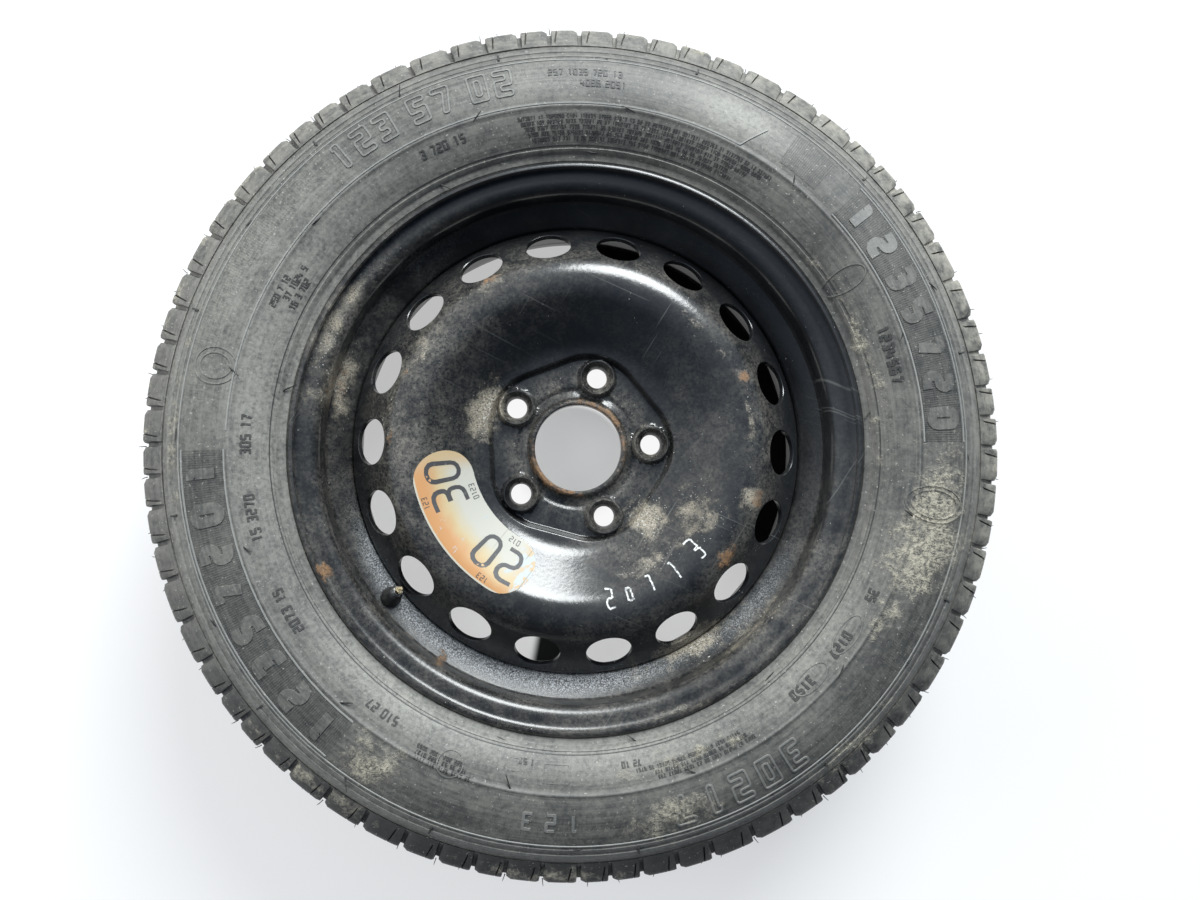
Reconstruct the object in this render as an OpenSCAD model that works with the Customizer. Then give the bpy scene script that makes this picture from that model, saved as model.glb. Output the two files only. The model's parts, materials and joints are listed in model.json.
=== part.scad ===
// Spare wheel: a pressed steel wheel with a radial tyre and a snap-in valve, stored flat, face up.
// The origin is the centre of the hub mounting face. +Z points out of the street side.

/* [Wheel standard] */
// Distance between the two bead flanges
rim_width = 152.4; // [139.7:0.1:177.8]
// Radius of the bead seat at the flange
seat_r = 190.1; // [188:0.1:192]
// Distance of the rim's centre plane behind the hub mounting face
inset = 43; // [35:0.5:49]
// Diameter of the hub bore
bore_d = 65.1; // [57:0.1:67]
// Diameter of the wheel bolt circle
bolt_circle_d = 110; // [105:0.1:114.3]
// Diameter of each wheel bolt hole
bolt_hole_d = 15.2; // [14:0.1:16]
// Direction of the first wheel bolt hole, in degrees
bolt_turn = 2.9; // [-30:0.1:30]

/* [Rim section] */
// Thickness of the rim sheet
rim_t = 2.5; // [2.2:0.1:3]
// Height of the flange above the bead seat
flange_h = 17.3; // [16.5:0.1:18]
// Width of the rolled flange edge
flange_w = 12.5; // [12.5:0.1:14]
// Radius of the flange where it leaves the bead
flange_bend = 8.5; // [7:0.1:8.5]
// Radius in the corner between bead seat and flange
heel_bend = 6.5; // [5:0.1:7]
// Height of the safety hump above the bead seat
hump_h = 0.5; // [0.2:0.1:1]
// Depth of the drop centre below the bead seat
well_depth = 17.3; // [16.8:0.1:19]
// Slope of the well's front wall, and so the lean of the valve, in degrees
valve_tilt = 36; // [32:1:40]

/* [Disc] */
// Thickness of the disc sheet
disc_t = 3.7; // [3:0.1:4.2]
// Height of the lip round the hub bore
bore_lip_h = 9.4; // [7:0.1:11]
// Depth of the hub recess below the foot of the bowl
recess_h = 5.6; // [4.8:0.1:7]
// Radius of the recess's five lobes
lobe_r = 42.5; // [40:0.5:44]
// Distance of the lobes' centres from the axis
lobe_at = 28; // [26:0.5:30]
// Height of the bolt seats above the mounting face
seat_boss_h = 12.2; // [10.5:0.1:13]
// Radius of each cone seat at its mouth
seat_cone_r = 12; // [11:0.1:12.5]
// Radius at which the bowl starts to rise
bowl_foot_r = 75; // [74:0.5:78]
// Slope of the bowl on its way up to the crown, in degrees
bowl_rise = 34; // [30:0.5:36]
// Bend radius of the crown
crown_bend = 26; // [20:0.5:28]
// Slope of the vented flank outside the crown, in degrees
flank_fall = 47; // [45:0.5:50]
// Number of vents
vent_count = 18; // [12:1:18]
// Diameter of each punched vent
vent_d = 34; // [26:0.5:35]
// Distance of the vent centres inside the skirt
vent_in = 17.25; // [16.25:0.25:18.25]
// Height of the vent centres above the mounting face
vent_z = 17; // [14:0.5:18]
// Direction of the first vent, in degrees
vent_turn = -1.4; // [-10:0.1:10]
// Length of the skirt that is pressed into the well
skirt_depth = 27; // [22:0.5:28]

/* [Tyre] */
// Overall diameter of the tyre
tyre_d = 634.5; // [628:0.5:640]
// Width of the tyre's section
tyre_w = 201; // [196:0.5:204]
// Thickness of the sidewall
sidewall_t = 7.5; // [6:0.1:9]
// Thickness from the tread surface to the air chamber
crown_t = 14; // [12.5:0.1:16]
// Half width of the tread
tread_half_w = 75.5; // [72:0.5:77]
// Drop of the tread's edge below its middle
tread_drop = 5.4; // [4:0.1:7]
// Clearance between the bead and the rim
bead_gap = 0.15; // [0.1:0.01:0.25]

/* [Tread] */
// Depth of the tread grooves
groove_depth = 7.2; // [5:0.1:8]
// Width of the grooves that run round the tyre
groove_w = 8; // [6:0.1:10]
// Distances of those grooves from the centre plane
groove_at = [13, 42];
// Width of the slots across the shoulders
slot_w = 2.6; // [1.6:0.1:4]
// Depth of the slots across the shoulders
slot_depth = 5.5; // [3:0.1:6.5]
// Width of the narrow slots across the inner ribs
rib_slot_w = 1.6; // [1:0.1:2.5]
// Slant of the inner slots, in degrees
rib_slot_slant = 24; // [0:1:35]
// Turn of the rear shoulder's slots against the front ones, in degrees
rear_shift = 2.5; // [0:0.1:5]
// Turn of the front and rear ribs' slots, in degrees
rib_shift = [1.2, 3.7];
// Relative lengths of the three tread pitches
pitch_lengths = [0.86, 1, 1.2];
// Order in which the pitches follow each other, repeated round the tyre
pitch_order = [0, 0, 1, 1, 2, 2, 1, 0, 0, 1, 2, 2, 2, 1, 1, 0, 1, 1];
// Number of times that order is repeated
pitch_repeats = 4; // [2:1:4]

/* [Label] */
// Inner radius of the arched label on the bowl
label_in_r = 80; // [79:0.5:84]
// Outer radius of the label
label_out_r = 122; // [112:0.5:122]
// Direction of the label's middle, in degrees
label_turn = 216; // [205:1:225]
// Angle between the centres of its round ends
label_sweep = 44; // [30:1:60]
// Thickness of the label
label_t = 0.25; // [0.15:0.05:0.4]

/* [Valve] */
// Direction of the valve, in degrees
valve_turn = 218.7; // [210:0.1:225]
// Diameter of the valve hole in the rim
valve_hole_d = 11.5; // [11.3:0.1:11.8]
// Length of the valve outside the rim
valve_out = 21.8; // [20:0.1:24]
// Diameter of the thread at the valve's mouth
mouth_d = 7.7; // [7.6:0.05:8]
// Length of the bare thread at the mouth
mouth_len = 8.6; // [7:0.1:9]
// Thickest diameter of the rubber outside the rim
bulge_d = 15.2; // [14:0.1:15.4]
// Diameter of the rubber foot inside the tyre
foot_d = 15.6; // [14.5:0.1:15.8]
// Length of the brass stem inside the rim
stem_in = 6.5; // [6:0.1:8]

/* [Valve core] */
// Diameter of the core's thread
core_d = 5.2; // [5:0.05:5.4]
// Diameter of the valve pin
pin_d = 1; // [0.9:0.05:1.1]
// Running clearance round the pin
pin_gap = 0.06; // [0.03:0.01:0.1]
// Depth of the pin's end below the valve's mouth
pin_below = 0.5; // [0.3:0.1:0.8]
// Travel of the pin when the valve is opened
pin_travel = 1.3; // [1:0.1:1.4]
// Wire diameter of the core's spring
spring_wire_d = 0.24; // [0.2:0.01:0.26]
// Number of turns of that spring
spring_turns = 6; // [4:1:7]

/* [Hidden] */
$fn = 96;

// Clearance between pieces that are pressed, bonded or welded together
weld_fit = 0.05;
bond_fit = 0.02;
rubber_fit = 0.12;

// The rim is drawn as a line [w, r, bend]: distance from the centre plane, radius and bend radius
half_w = rim_width / 2;
flange_r = seat_r + flange_h;
flange_tip_w = half_w + flange_w;
lip_turn = 3.9;
lip_fall = 4.4;
lip_r = flange_r - lip_fall;
seat_taper = 5;
seat_len = 17.5;
seat_end_r = seat_r - seat_len * tan(seat_taper);
seat_end_bend = 5;
hump_in = 21.7;
hump_w = half_w - hump_in;
hump_half = 1.2;
hump_r = seat_r + hump_h;
hump_bend = 2.5;
hump_foot = 4.5;
wall_drop = 2.3;
wall_bend = 3;
wall_top = [hump_w - hump_foot, seat_r - wall_drop];
well_r = seat_r - well_depth;
wall_foot = [wall_top[0] - (wall_top[1] - well_r) * tan(valve_tilt), well_r];
well_back_w = 10;
well_back_bend = 12;
ledge_w = 14;
ledge_drop = 6.1;
ledge_end_drop = 2.9;
ledge_bend = 16;
rear_ledge = [-ledge_w, seat_r - ledge_drop];
rear_ledge_end = [-hump_w + hump_foot, seat_r - ledge_end_drop];
front_line = [
    [flange_tip_w, lip_r, 0],
    [flange_tip_w, flange_r, lip_turn],
    [half_w, flange_r, flange_bend],
    [half_w, seat_r, heel_bend],
    [half_w - seat_len, seat_end_r, seat_end_bend],
    [hump_w + hump_half, hump_r, hump_bend],
    [hump_w - hump_half, hump_r, hump_bend],
    [wall_top[0], wall_top[1], wall_bend],
    [wall_foot[0], wall_foot[1], wall_bend],
    [well_back_w, well_r, well_back_bend]];
back_line = [
    [rear_ledge[0], rear_ledge[1], ledge_bend],
    [rear_ledge_end[0], rear_ledge_end[1], seat_end_bend],
    [-hump_w + hump_half, hump_r, hump_bend],
    [-hump_w - hump_half, hump_r, hump_bend],
    [-half_w + seat_len, seat_end_r, seat_end_bend],
    [-half_w, seat_r, heel_bend],
    [-half_w, flange_r, flange_bend],
    [-flange_tip_w, flange_r, lip_turn],
    [-flange_tip_w, lip_r, 0]];

// The disc's front face is a line [r, z, bend]
bolt_r = bolt_circle_d / 2;
bore_r = bore_d / 2;
skirt_r = well_r - rim_t - weld_fit;
vent_r = skirt_r - vent_in;
foot_rise = 0.9;
foot_len = 19;
foot_fall = 1.6;
foot_bend = 30;
flank_bend = 10;
bowl_foot_z = disc_t + recess_h + foot_rise;
bowl_start = [bowl_foot_r - foot_len, bowl_foot_z - foot_fall];
crown_r = (vent_z - bowl_foot_z + bowl_foot_r * tan(bowl_rise) + vent_r * tan(flank_fall))
    / (tan(bowl_rise) + tan(flank_fall));
crown_z = bowl_foot_z + (crown_r - bowl_foot_r) * tan(bowl_rise);
flank_foot_z = vent_z - (skirt_r - vent_r) * tan(flank_fall);
bowl_line = [
    [bowl_start[0], bowl_start[1], 0],
    [bowl_foot_r, bowl_foot_z, foot_bend],
    [crown_r, crown_z, crown_bend],
    [skirt_r, flank_foot_z, flank_bend],
    [skirt_r, -skirt_depth, 0]];
recess_wall = 3.4;
// The lip pulled up round the bore and the shallow ring pressed outside it, as [distance from the bore, z]
lip_w = 8.6;
lip_line = [
    [-3, disc_t / 2], [lip_w, disc_t / 2], [lip_w, disc_t - 0.3], [lip_w - 3, disc_t + 1.2],
    [lip_w - 5, bore_lip_h - 1], [lip_w - 6.3, bore_lip_h], [lip_w - 7.8, bore_lip_h],
    [-3, bore_lip_h - 3.8]];
ring_line = [
    [lip_w + 0.8, disc_t + 1], [lip_w + 1.8, disc_t - 1],
    [lip_w + 3.8, disc_t - 1], [lip_w + 6.6, disc_t + 1]];
// The bolt seats: cone, and the boss's wall round it at its top and foot
seat_cone_angle = 30;
seat_cone_h = (seat_cone_r - bolt_hole_d / 2) / tan(seat_cone_angle);
boss_wall = 0.7;
boss_foot_wall = 3;
// Length of cutters that pass through the disc
through = 60;
vent_reach = 24;

// The tyre's outer and inner sidewalls are arcs about one centre
tyre_r = tyre_d / 2;
bead_rise = 4.6;
shoulder_h = 23.2;
lower_r = flange_r + bead_rise;
upper_r = tyre_r - shoulder_h;
belly_drop = 0.6;
belly_r = (lower_r + upper_r) / 2 - belly_drop;
// How far the sidewall draws in at the shoulder, as a share of its height there above the widest point
draw_in = 0.36;
belly_bend = (upper_r - belly_r) * (1 + draw_in * draw_in) / (2 * draw_in);
belly_w = tyre_w / 2 - belly_bend;
crown_round = (tread_half_w * tread_half_w) / (2 * tread_drop);
// Raised rings on the sidewall: [radius, width, height]
rings = [
    [lower_r + 2.5, 2.2, 0.7], [belly_r - 7.2, 1.4, 0.5],
    [upper_r - 11, 1.4, 0.5], [upper_r - 6, 1.8, 0.6]];
// Length across the shoulder's bend, its radius and the step where it meets the sidewall
shoulder_len = 12;
shoulder_bend = 7;
shoulder_step = 0.8;
// The bead ends in a toe short of the seat's end, and its inner side climbs to the liner
toe_back = 2.5;
toe_t = 2.9;
bead_len = 12;
bead_h = 10;
toe_w = half_w - seat_len + toe_back;
toe_r = seat_r - (half_w - toe_w) * tan(seat_taper) + bead_gap;
// The liner's corner under the tread's edge, and its bend
liner_in = 8;
liner_drop = 3.5;
liner_bend = 18;
pitches = [for (k = [1:pitch_repeats]) each pitch_order];
pitch_total = pitch_sum(len(pitches));

// The valve is drawn along its own axis: height h above the rim's tyre side, mouth at mouth_h
valve_seat = (wall_top + wall_foot) / 2;
mouth_h = rim_t + valve_out;
thread_h = mouth_h - mouth_len;
mouth_r = mouth_d / 2;
neck_r = valve_hole_d / 2 - 0.1;
tube_r = mouth_r - 0.6;
core_r = core_d / 2;
chamber_r = core_r + 0.05;
throat_r = core_r - 0.55;
pin_r = pin_d / 2;
// Depths of the core's pieces below the valve's mouth
plug_top = pin_below + 0.9;
plug_len = 4.8;
bridge_len = 2.2;
barrel_top = plug_top + plug_len + 0.05;
barrel_end = barrel_top + 7.95;
barrel_r = 1.75;
barrel_bore_r = 1.15;
ledge_t = 0.6;
collar_top = barrel_top + 1.15;
collar_t = 0.6;
seal_top = barrel_top + 1.95;
seal_len = 2;
seat_depth = seal_top + 1;
cup_gap = 0.05;
cup_seal_top = barrel_end + cup_gap;
cup_seal_t = 1.3;
cup_r = 1.7;
cup_wall = 0.25;
cup_end = cup_seal_top + cup_seal_t + 0.8;
spring_r = (pin_r + barrel_bore_r) / 2 + 0.02;

// Geometry helpers
function unit(v) = v / norm(v);
function left(v) = [-v[1], v[0]];
function flat(p) = [p[0], p[1]];
function reversed(p) = [for (i = [len(p) - 1:-1:0]) p[i]];
// Points of an arc about c, from angle a0 over the angle sweep
function arc(c, r, a0, sweep, n) =
    [for (i = [0:n]) let (a = a0 + sweep * i / n) c + r * [cos(a), sin(a)]];
// Points that round the corner b between a and c with the bend radius r
function corner(a, b, c, r) =
    let (u = unit(a - b), v = unit(c - b), half = acos(u * v) / 2,
        centre = b + unit(u + v) * r / sin(half), cut = r / tan(half),
        p = b + u * cut - centre, q = b + v * cut - centre,
        a0 = atan2(p[1], p[0]), sweep = (atan2(q[1], q[0]) - a0 + 540) % 360 - 180)
    arc(centre, r, a0, sweep, max(2, ceil(abs(sweep) / 6)));
// A line of [x, y, bend] vertices with every bend rounded
function bent(v) = [for (i = [0:len(v) - 1])
    each (i == 0 || i == len(v) - 1 || v[i][2] == 0) ? [flat(v[i])]
        : corner(flat(v[i - 1]), flat(v[i]), flat(v[i + 1]), v[i][2])];
// The direction across the line p at point i, and the line p moved to its left by t
function across(p, i) =
    let (u = unit(p[min(i + 1, len(p) - 1)] - p[min(i, len(p) - 2)]),
        v = unit(p[max(i, 1)] - p[max(i - 1, 0)]),
        m = unit(left(u) + left(v)))
    m / (m * left(u));
function moved(p, t) = [for (i = [0:len(p) - 1]) p[i] + across(p, i) * t];
// A sheet of thickness t on the left of the line p
function sheet(p, t) = concat(p, reversed(moved(p, t)));
// Rim points [w, r] as points [r, z] in the wheel's frame
function placed(p) = [for (q = p) [q[1], q[0] - inset]];
function mirrored(p) = [for (q = reversed(p)) [-q[0], q[1]]];

// Tyre outline: half width of the outer or inner sidewall at the radius r, and radius of the tread at w
function side_w(r, depth = 0) = belly_w + sqrt(pow(belly_bend - depth, 2) - pow(r - belly_r, 2));
function tread_at(w) = tyre_r - w * w / (2 * crown_round);
function ring_bump(g) = let (b = g[1] / 2, h = g[2]) [
    [side_w(g[0] + b + h), g[0] + b + h], [side_w(g[0] + b) + h, g[0] + b],
    [side_w(g[0] - b) + h, g[0] - b], [side_w(g[0] - b - h), g[0] - b - h]];
function side_span(top, bottom, n) =
    [for (i = [1:n - 1]) let (r = top + (bottom - top) * i / n) [side_w(r), r]];
function ring_top(g) = g[0] + g[1] / 2 + g[2];
function ring_foot(g) = g[0] - g[1] / 2 - g[2];
// The sidewall from the shoulder down to the bead, with its raised rings
function sidewall() = concat(
    side_span(upper_r, ring_top(rings[3]), 3), ring_bump(rings[3]), ring_bump(rings[2]),
    side_span(ring_foot(rings[2]), ring_top(rings[1]), 9), ring_bump(rings[1]),
    side_span(ring_foot(rings[1]), ring_top(rings[0]), 9), ring_bump(rings[0]));
shoulder_line = bent([
    [tread_half_w - shoulder_len, tread_at(tread_half_w - shoulder_len), 0],
    [tread_half_w, tread_at(tread_half_w) - 0.3, shoulder_bend],
    [side_w(upper_r) + shoulder_step, upper_r, 0]]);
bead_line = bent([
    [side_w(lower_r), lower_r, 0],
    [half_w + flange_bend + 1, flange_r + bead_gap, 1],
    [half_w - bead_gap, flange_r + bead_gap, flange_bend + bead_gap],
    [half_w - bead_gap, seat_r + bead_gap, heel_bend],
    [toe_w, toe_r, 0]]);
liner_top = upper_r - 11;
liner_foot = lower_r + 2;
liner = concat(
    [[toe_w, toe_r + toe_t], [half_w - bead_len, seat_r + bead_h],
        [side_w(lower_r, sidewall_t) + 1, liner_foot]],
    [for (i = [1:9]) let (r = liner_foot + (liner_top - 1 - liner_foot) * i / 10) [side_w(r, sidewall_t), r]],
    bent([[side_w(liner_top, sidewall_t), liner_top, 0],
        [tread_half_w - liner_in, tyre_r - crown_t - liner_drop, liner_bend],
        [tread_half_w / 2, tyre_r - crown_t - 1, 60], [0, tyre_r - crown_t, 0]]));
tyre_half = concat([for (w = [0:10:60]) [w, tread_at(w)]], shoulder_line, sidewall(), bead_line, liner);

// Start of pitch i, in degrees
function pitch_sum(i) = i == 0 ? 0 : pitch_sum(i - 1) + pitch_lengths[pitches[i - 1]];
function pitch_start(i) = 360 * pitch_sum(i) / pitch_total;

module turned(p) rotate_extrude($fn = 180) polygon(p);
module round_bolts() for (i = [0:4]) rotate(bolt_turn + 72 * i) translate([bolt_r, 0, 0]) children();

// Moves a piece drawn along the valve's own axis to its place in the rim
module at_valve() rotate(valve_turn) translate([valve_seat[1], 0, valve_seat[0] - inset])
    rotate([0, -valve_tilt, 0]) children();

// A piece of the valve core, drawn as [radius, depth below the mouth]
module core_turned(p) at_valve() rotate_extrude($fn = 48) polygon([for (q = p) [q[0], mouth_h - q[1]]]);

// A cutter across one shoulder, [w, r] in section, that follows the tread at the slot's depth
module shoulder_slot(side) let (inner = groove_at[1] + groove_w / 2)
    rotate([90, 0, 0]) linear_extrude(slot_w, center = true) polygon([
        for (q = [[inner, tread_at(inner) - slot_depth],
            [tread_half_w - shoulder_len / 2, tread_at(tread_half_w) - slot_depth],
            [side_w(upper_r), upper_r - 2], [side_w(upper_r) + 12, upper_r - 2],
            [side_w(upper_r) + 12, tyre_r + 4], [inner, tyre_r + 4]])
        [q[1], side * q[0] - inset]]);

// A slanted slot across the ribs between two grooves
module rib_slot(side) translate([tyre_r, 0, side * (groove_at[0] + groove_at[1]) / 2 - inset])
    rotate([side * rib_slot_slant, 0, 0])
        cube([2 * slot_depth, rib_slot_w, groove_at[1] - groove_at[0]], center = true);

module tyre() color("#2c2d2c") difference() {
    rotate_extrude($fn = 180) difference() {
        polygon(placed(concat(tyre_half, mirrored(tyre_half))));
        for (w = groove_at, side = [-1, 1])
            translate([tread_at(w) - groove_depth, side * w - groove_w / 2 - inset]) square([20, groove_w]);
    }
    for (i = [0:len(pitches) - 1]) {
        rotate(pitch_start(i)) shoulder_slot(1);
        rotate(pitch_start(i) + rear_shift) shoulder_slot(-1);
        rotate(pitch_start(i) + rib_shift[0]) rib_slot(1);
        rotate(pitch_start(i) + rib_shift[1]) rib_slot(-1);
    }
}

module rim() color("#17181a") difference() {
    turned(placed(sheet(bent(concat(front_line, back_line)), rim_t)));
    at_valve() translate([0, 0, -4]) cylinder(d = valve_hole_d, h = 12);
}

// Outline of the hub recess: five round lobes joined by their tangents, grown outwards by grow
module recess_outline(grow = 0) polygon([for (i = [0:4]) let (a = bolt_turn + 72 * i)
    each arc(lobe_at * [cos(a), sin(a)], lobe_r + grow, a - 36, 72, 12)]);

function from_bore(p) = [for (q = p) [bore_r + q[0], q[1]]];

// The flat hub pad in its recess, the lip round the bore and the five raised bolt seats
module hub_pad() {
    difference() {
        linear_extrude(bowl_foot_z - foot_rise - 0.2) recess_outline(recess_wall);
        translate([0, 0, disc_t]) linear_extrude(through) recess_outline();
        turned(from_bore(ring_line));
    }
    turned(from_bore(lip_line));
    round_bolts() translate([0, 0, disc_t / 2])
        cylinder(r1 = seat_cone_r + boss_foot_wall, r2 = seat_cone_r + boss_wall,
            h = seat_boss_h - disc_t / 2);
}

module disc() color("#17181a") difference() {
    union() {
        difference() {
            turned(sheet(bent(bowl_line), -disc_t));
            translate([0, 0, -through / 2]) linear_extrude(through) recess_outline(recess_wall / 2);
        }
        hub_pad();
    }
    cylinder(r = bore_r, h = through, center = true);
    round_bolts() {
        cylinder(d = bolt_hole_d, h = through, center = true);
        translate([0, 0, seat_boss_h - seat_cone_h]) cylinder(
            r1 = bolt_hole_d / 2, r2 = seat_cone_r + tan(seat_cone_angle), h = seat_cone_h + 1);
    }
    for (i = [0:vent_count - 1]) rotate(vent_turn + 360 * i / vent_count)
        translate([vent_r, 0, vent_z]) rotate([0, flank_fall, 0])
            cylinder(d = vent_d, h = vent_reach, center = true);
}

// Fillet welds between the skirt's end and the well
module weld_seams() color("#4a443c") for (i = [0:5]) rotate(14 + 60 * i)
    rotate_extrude(angle = 32, $fn = 180) polygon([
        [skirt_r, -skirt_depth], [skirt_r - disc_t + 0.6, -skirt_depth],
        [skirt_r - disc_t + 1.2, -skirt_depth - 1.6], [skirt_r - 1.4, -skirt_depth - 3.6],
        [skirt_r, -skirt_depth - 4.4]]);

// Outline of the label: an arched band with round ends
function label_outline() =
    let (mid = (label_in_r + label_out_r) / 2, cap = (label_out_r - label_in_r) / 2,
        a0 = label_turn - label_sweep / 2, a1 = label_turn + label_sweep / 2)
    concat(arc([0, 0], label_out_r, a0, label_sweep, 12), arc(mid * [cos(a1), sin(a1)], cap, a1, 180, 16),
        arc([0, 0], label_in_r, a1, -label_sweep, 12), arc(mid * [cos(a0), sin(a0)], cap, a0 + 180, 180, 16));

module disc_label() color("#e9b069") intersection() {
    turned(concat(moved(bent(bowl_line), bond_fit), reversed(moved(bent(bowl_line), bond_fit + label_t))));
    linear_extrude(through) polygon(label_outline());
}

module valve_body() color("#1b1b1c") at_valve() difference() {
    rotate_extrude($fn = 64) polygon([
        [tube_r + bond_fit, -stem_in + 1.3], [foot_d / 2 - 1.4, -stem_in + 1.3], [foot_d / 2, -stem_in + 3],
        [foot_d / 2, -1], [foot_d / 2 - 0.6, -rubber_fit], [neck_r, -rubber_fit],
        [neck_r, rim_t + rubber_fit], [bulge_d / 2 - 0.5, rim_t + rubber_fit], [bulge_d / 2, rim_t + 0.9],
        [bulge_d / 2 - 0.1, rim_t + 3.4], [bulge_d / 2 - 0.9, rim_t + 6],
        [mouth_r + 1.7, thread_h - 2.4], [mouth_r + 1.1, thread_h - 0.8], [mouth_r + 0.5, thread_h - 0.1],
        [tube_r + bond_fit, thread_h - 0.1]]);
}

module valve_stem() color("#b08d4a") at_valve() rotate_extrude($fn = 64) polygon([
    [throat_r, -stem_in], [tube_r, -stem_in], [tube_r, thread_h], [mouth_r - 0.4, thread_h],
    [mouth_r, thread_h + 0.4], [mouth_r, mouth_h - 0.5], [mouth_r - 0.5, mouth_h],
    [chamber_r + 0.3, mouth_h], [chamber_r, mouth_h - 0.3], [chamber_r, mouth_h - seat_depth],
    [throat_r, mouth_h - seat_depth - 1.2]]);

module core_plug() color("#c9a75c") difference() {
    union() {
        core_turned([[1.5, plug_top + 1.6], [core_r, plug_top + 1.6], [core_r, plug_top + plug_len],
            [1.5, plug_top + plug_len]]);
        at_valve() translate([0, 0, mouth_h - plug_top - bridge_len]) intersection() {
            cylinder(r = core_r, h = bridge_len, $fn = 48);
            translate([-core_r, -1.1, 0]) cube([core_d, 2.2, bridge_len]);
        }
    }
    at_valve() translate([0, 0, mouth_h - plug_top - bridge_len - 1])
        cylinder(r = pin_r + pin_gap, h = bridge_len + 2, $fn = 48);
}

module core_barrel() color("#c9a75c") core_turned([
    [barrel_bore_r, barrel_top], [barrel_r, barrel_top], [barrel_r, seal_top - 0.6],
    [barrel_r + 0.35, seal_top - 0.6],
    [barrel_r + 0.35, seal_top], [barrel_r, seal_top], [barrel_r, barrel_end],
    [pin_r + pin_gap + 0.06, barrel_end], [pin_r + pin_gap + 0.06, barrel_end - ledge_t],
    [barrel_bore_r, barrel_end - ledge_t]]);

module barrel_seal() color("#b5301f") core_turned([
    [barrel_r + bond_fit, seal_top + bond_fit], [core_r - 0.05, seal_top + bond_fit],
    [core_r - 0.05, seat_depth],
    [core_r - 0.52, seat_depth + 0.9], [barrel_r + bond_fit, seal_top + seal_len]]);

// The spring is a round wire swept along a helix
spring_top = collar_top + collar_t + spring_wire_d / 2 + 0.02;
spring_foot = barrel_end - ledge_t - spring_wire_d / 2 - 0.02;
wire_sides = 6;
steps_per_turn = 14;
spring_steps = spring_turns * steps_per_turn;
function spring_ring(i) = let (a = 360 * i / steps_per_turn)
    [for (k = [0:wire_sides - 1]) let (b = 360 * k / wire_sides, r = spring_r + spring_wire_d / 2 * cos(b))
        [r * cos(a), r * sin(a), mouth_h - spring_top - (spring_foot - spring_top) * i / spring_steps
            + spring_wire_d / 2 * sin(b)]];

module core_spring() color("#9a9a9a") at_valve() polyhedron(
    points = [for (i = [0:spring_steps]) each spring_ring(i)],
    faces = concat(
        [[for (k = [0:wire_sides - 1]) k]],
        [for (i = [0:spring_steps - 1], k = [0:wire_sides - 1]) let (n = (k + 1) % wire_sides)
            [i * wire_sides + k, (i + 1) * wire_sides + k, (i + 1) * wire_sides + n, i * wire_sides + n]],
        [[for (k = [wire_sides - 1:-1:0]) spring_steps * wire_sides + k]]));

module core_pin() color("#d2b36a") core_turned([
    [0, pin_below], [pin_r - 0.15, pin_below], [pin_r, pin_below + 0.15], [pin_r, collar_top],
    [barrel_bore_r - 0.17, collar_top], [barrel_bore_r - 0.17, collar_top + collar_t],
    [pin_r, collar_top + collar_t], [pin_r, cup_end + 0.3], [0, cup_end + 0.3]]);

module core_cup() color("#c9a75c") core_turned([
    [pin_r + bond_fit, cup_seal_top + cup_seal_t + bond_fit],
    [cup_r - cup_wall, cup_seal_top + cup_seal_t + bond_fit], [cup_r - cup_wall, cup_seal_top + 0.35],
    [cup_r, cup_seal_top + 0.35], [cup_r, cup_end - 0.3], [cup_r - 0.3, cup_end],
    [pin_r + bond_fit, cup_end]]);

module cup_seal() color("#222222") core_turned([
    [pin_r + bond_fit, cup_seal_top], [cup_r - cup_wall - bond_fit, cup_seal_top],
    [cup_r - cup_wall - bond_fit, cup_seal_top + cup_seal_t], [pin_r + bond_fit, cup_seal_top + cup_seal_t]]);

tyre();
rim();
disc();
weld_seams();
disc_label();
valve_body();
valve_stem();
core_plug();
core_barrel();
barrel_seal();
core_spring();
core_pin();
core_cup();
cup_seal();
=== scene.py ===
"""Looks of a spare wheel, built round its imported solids: a pressed steel wheel painted gloss black,
a tyre with mould marks and mud on it, a snap-in valve without its cap, and an arched printed label.

Lengths are millimetres and angles are degrees until a mesh is made, which turns them into metres.
The wheel's axis is Z and the hub's mounting face is z = 0. In sections, w is the distance in front of
the rim's centre plane, so z = w - INSET, and r is the distance from the axis."""
import json
import math
from functools import partialmethod

import bmesh
import bpy
import numpy as np
from mathutils import Matrix, Vector


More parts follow.
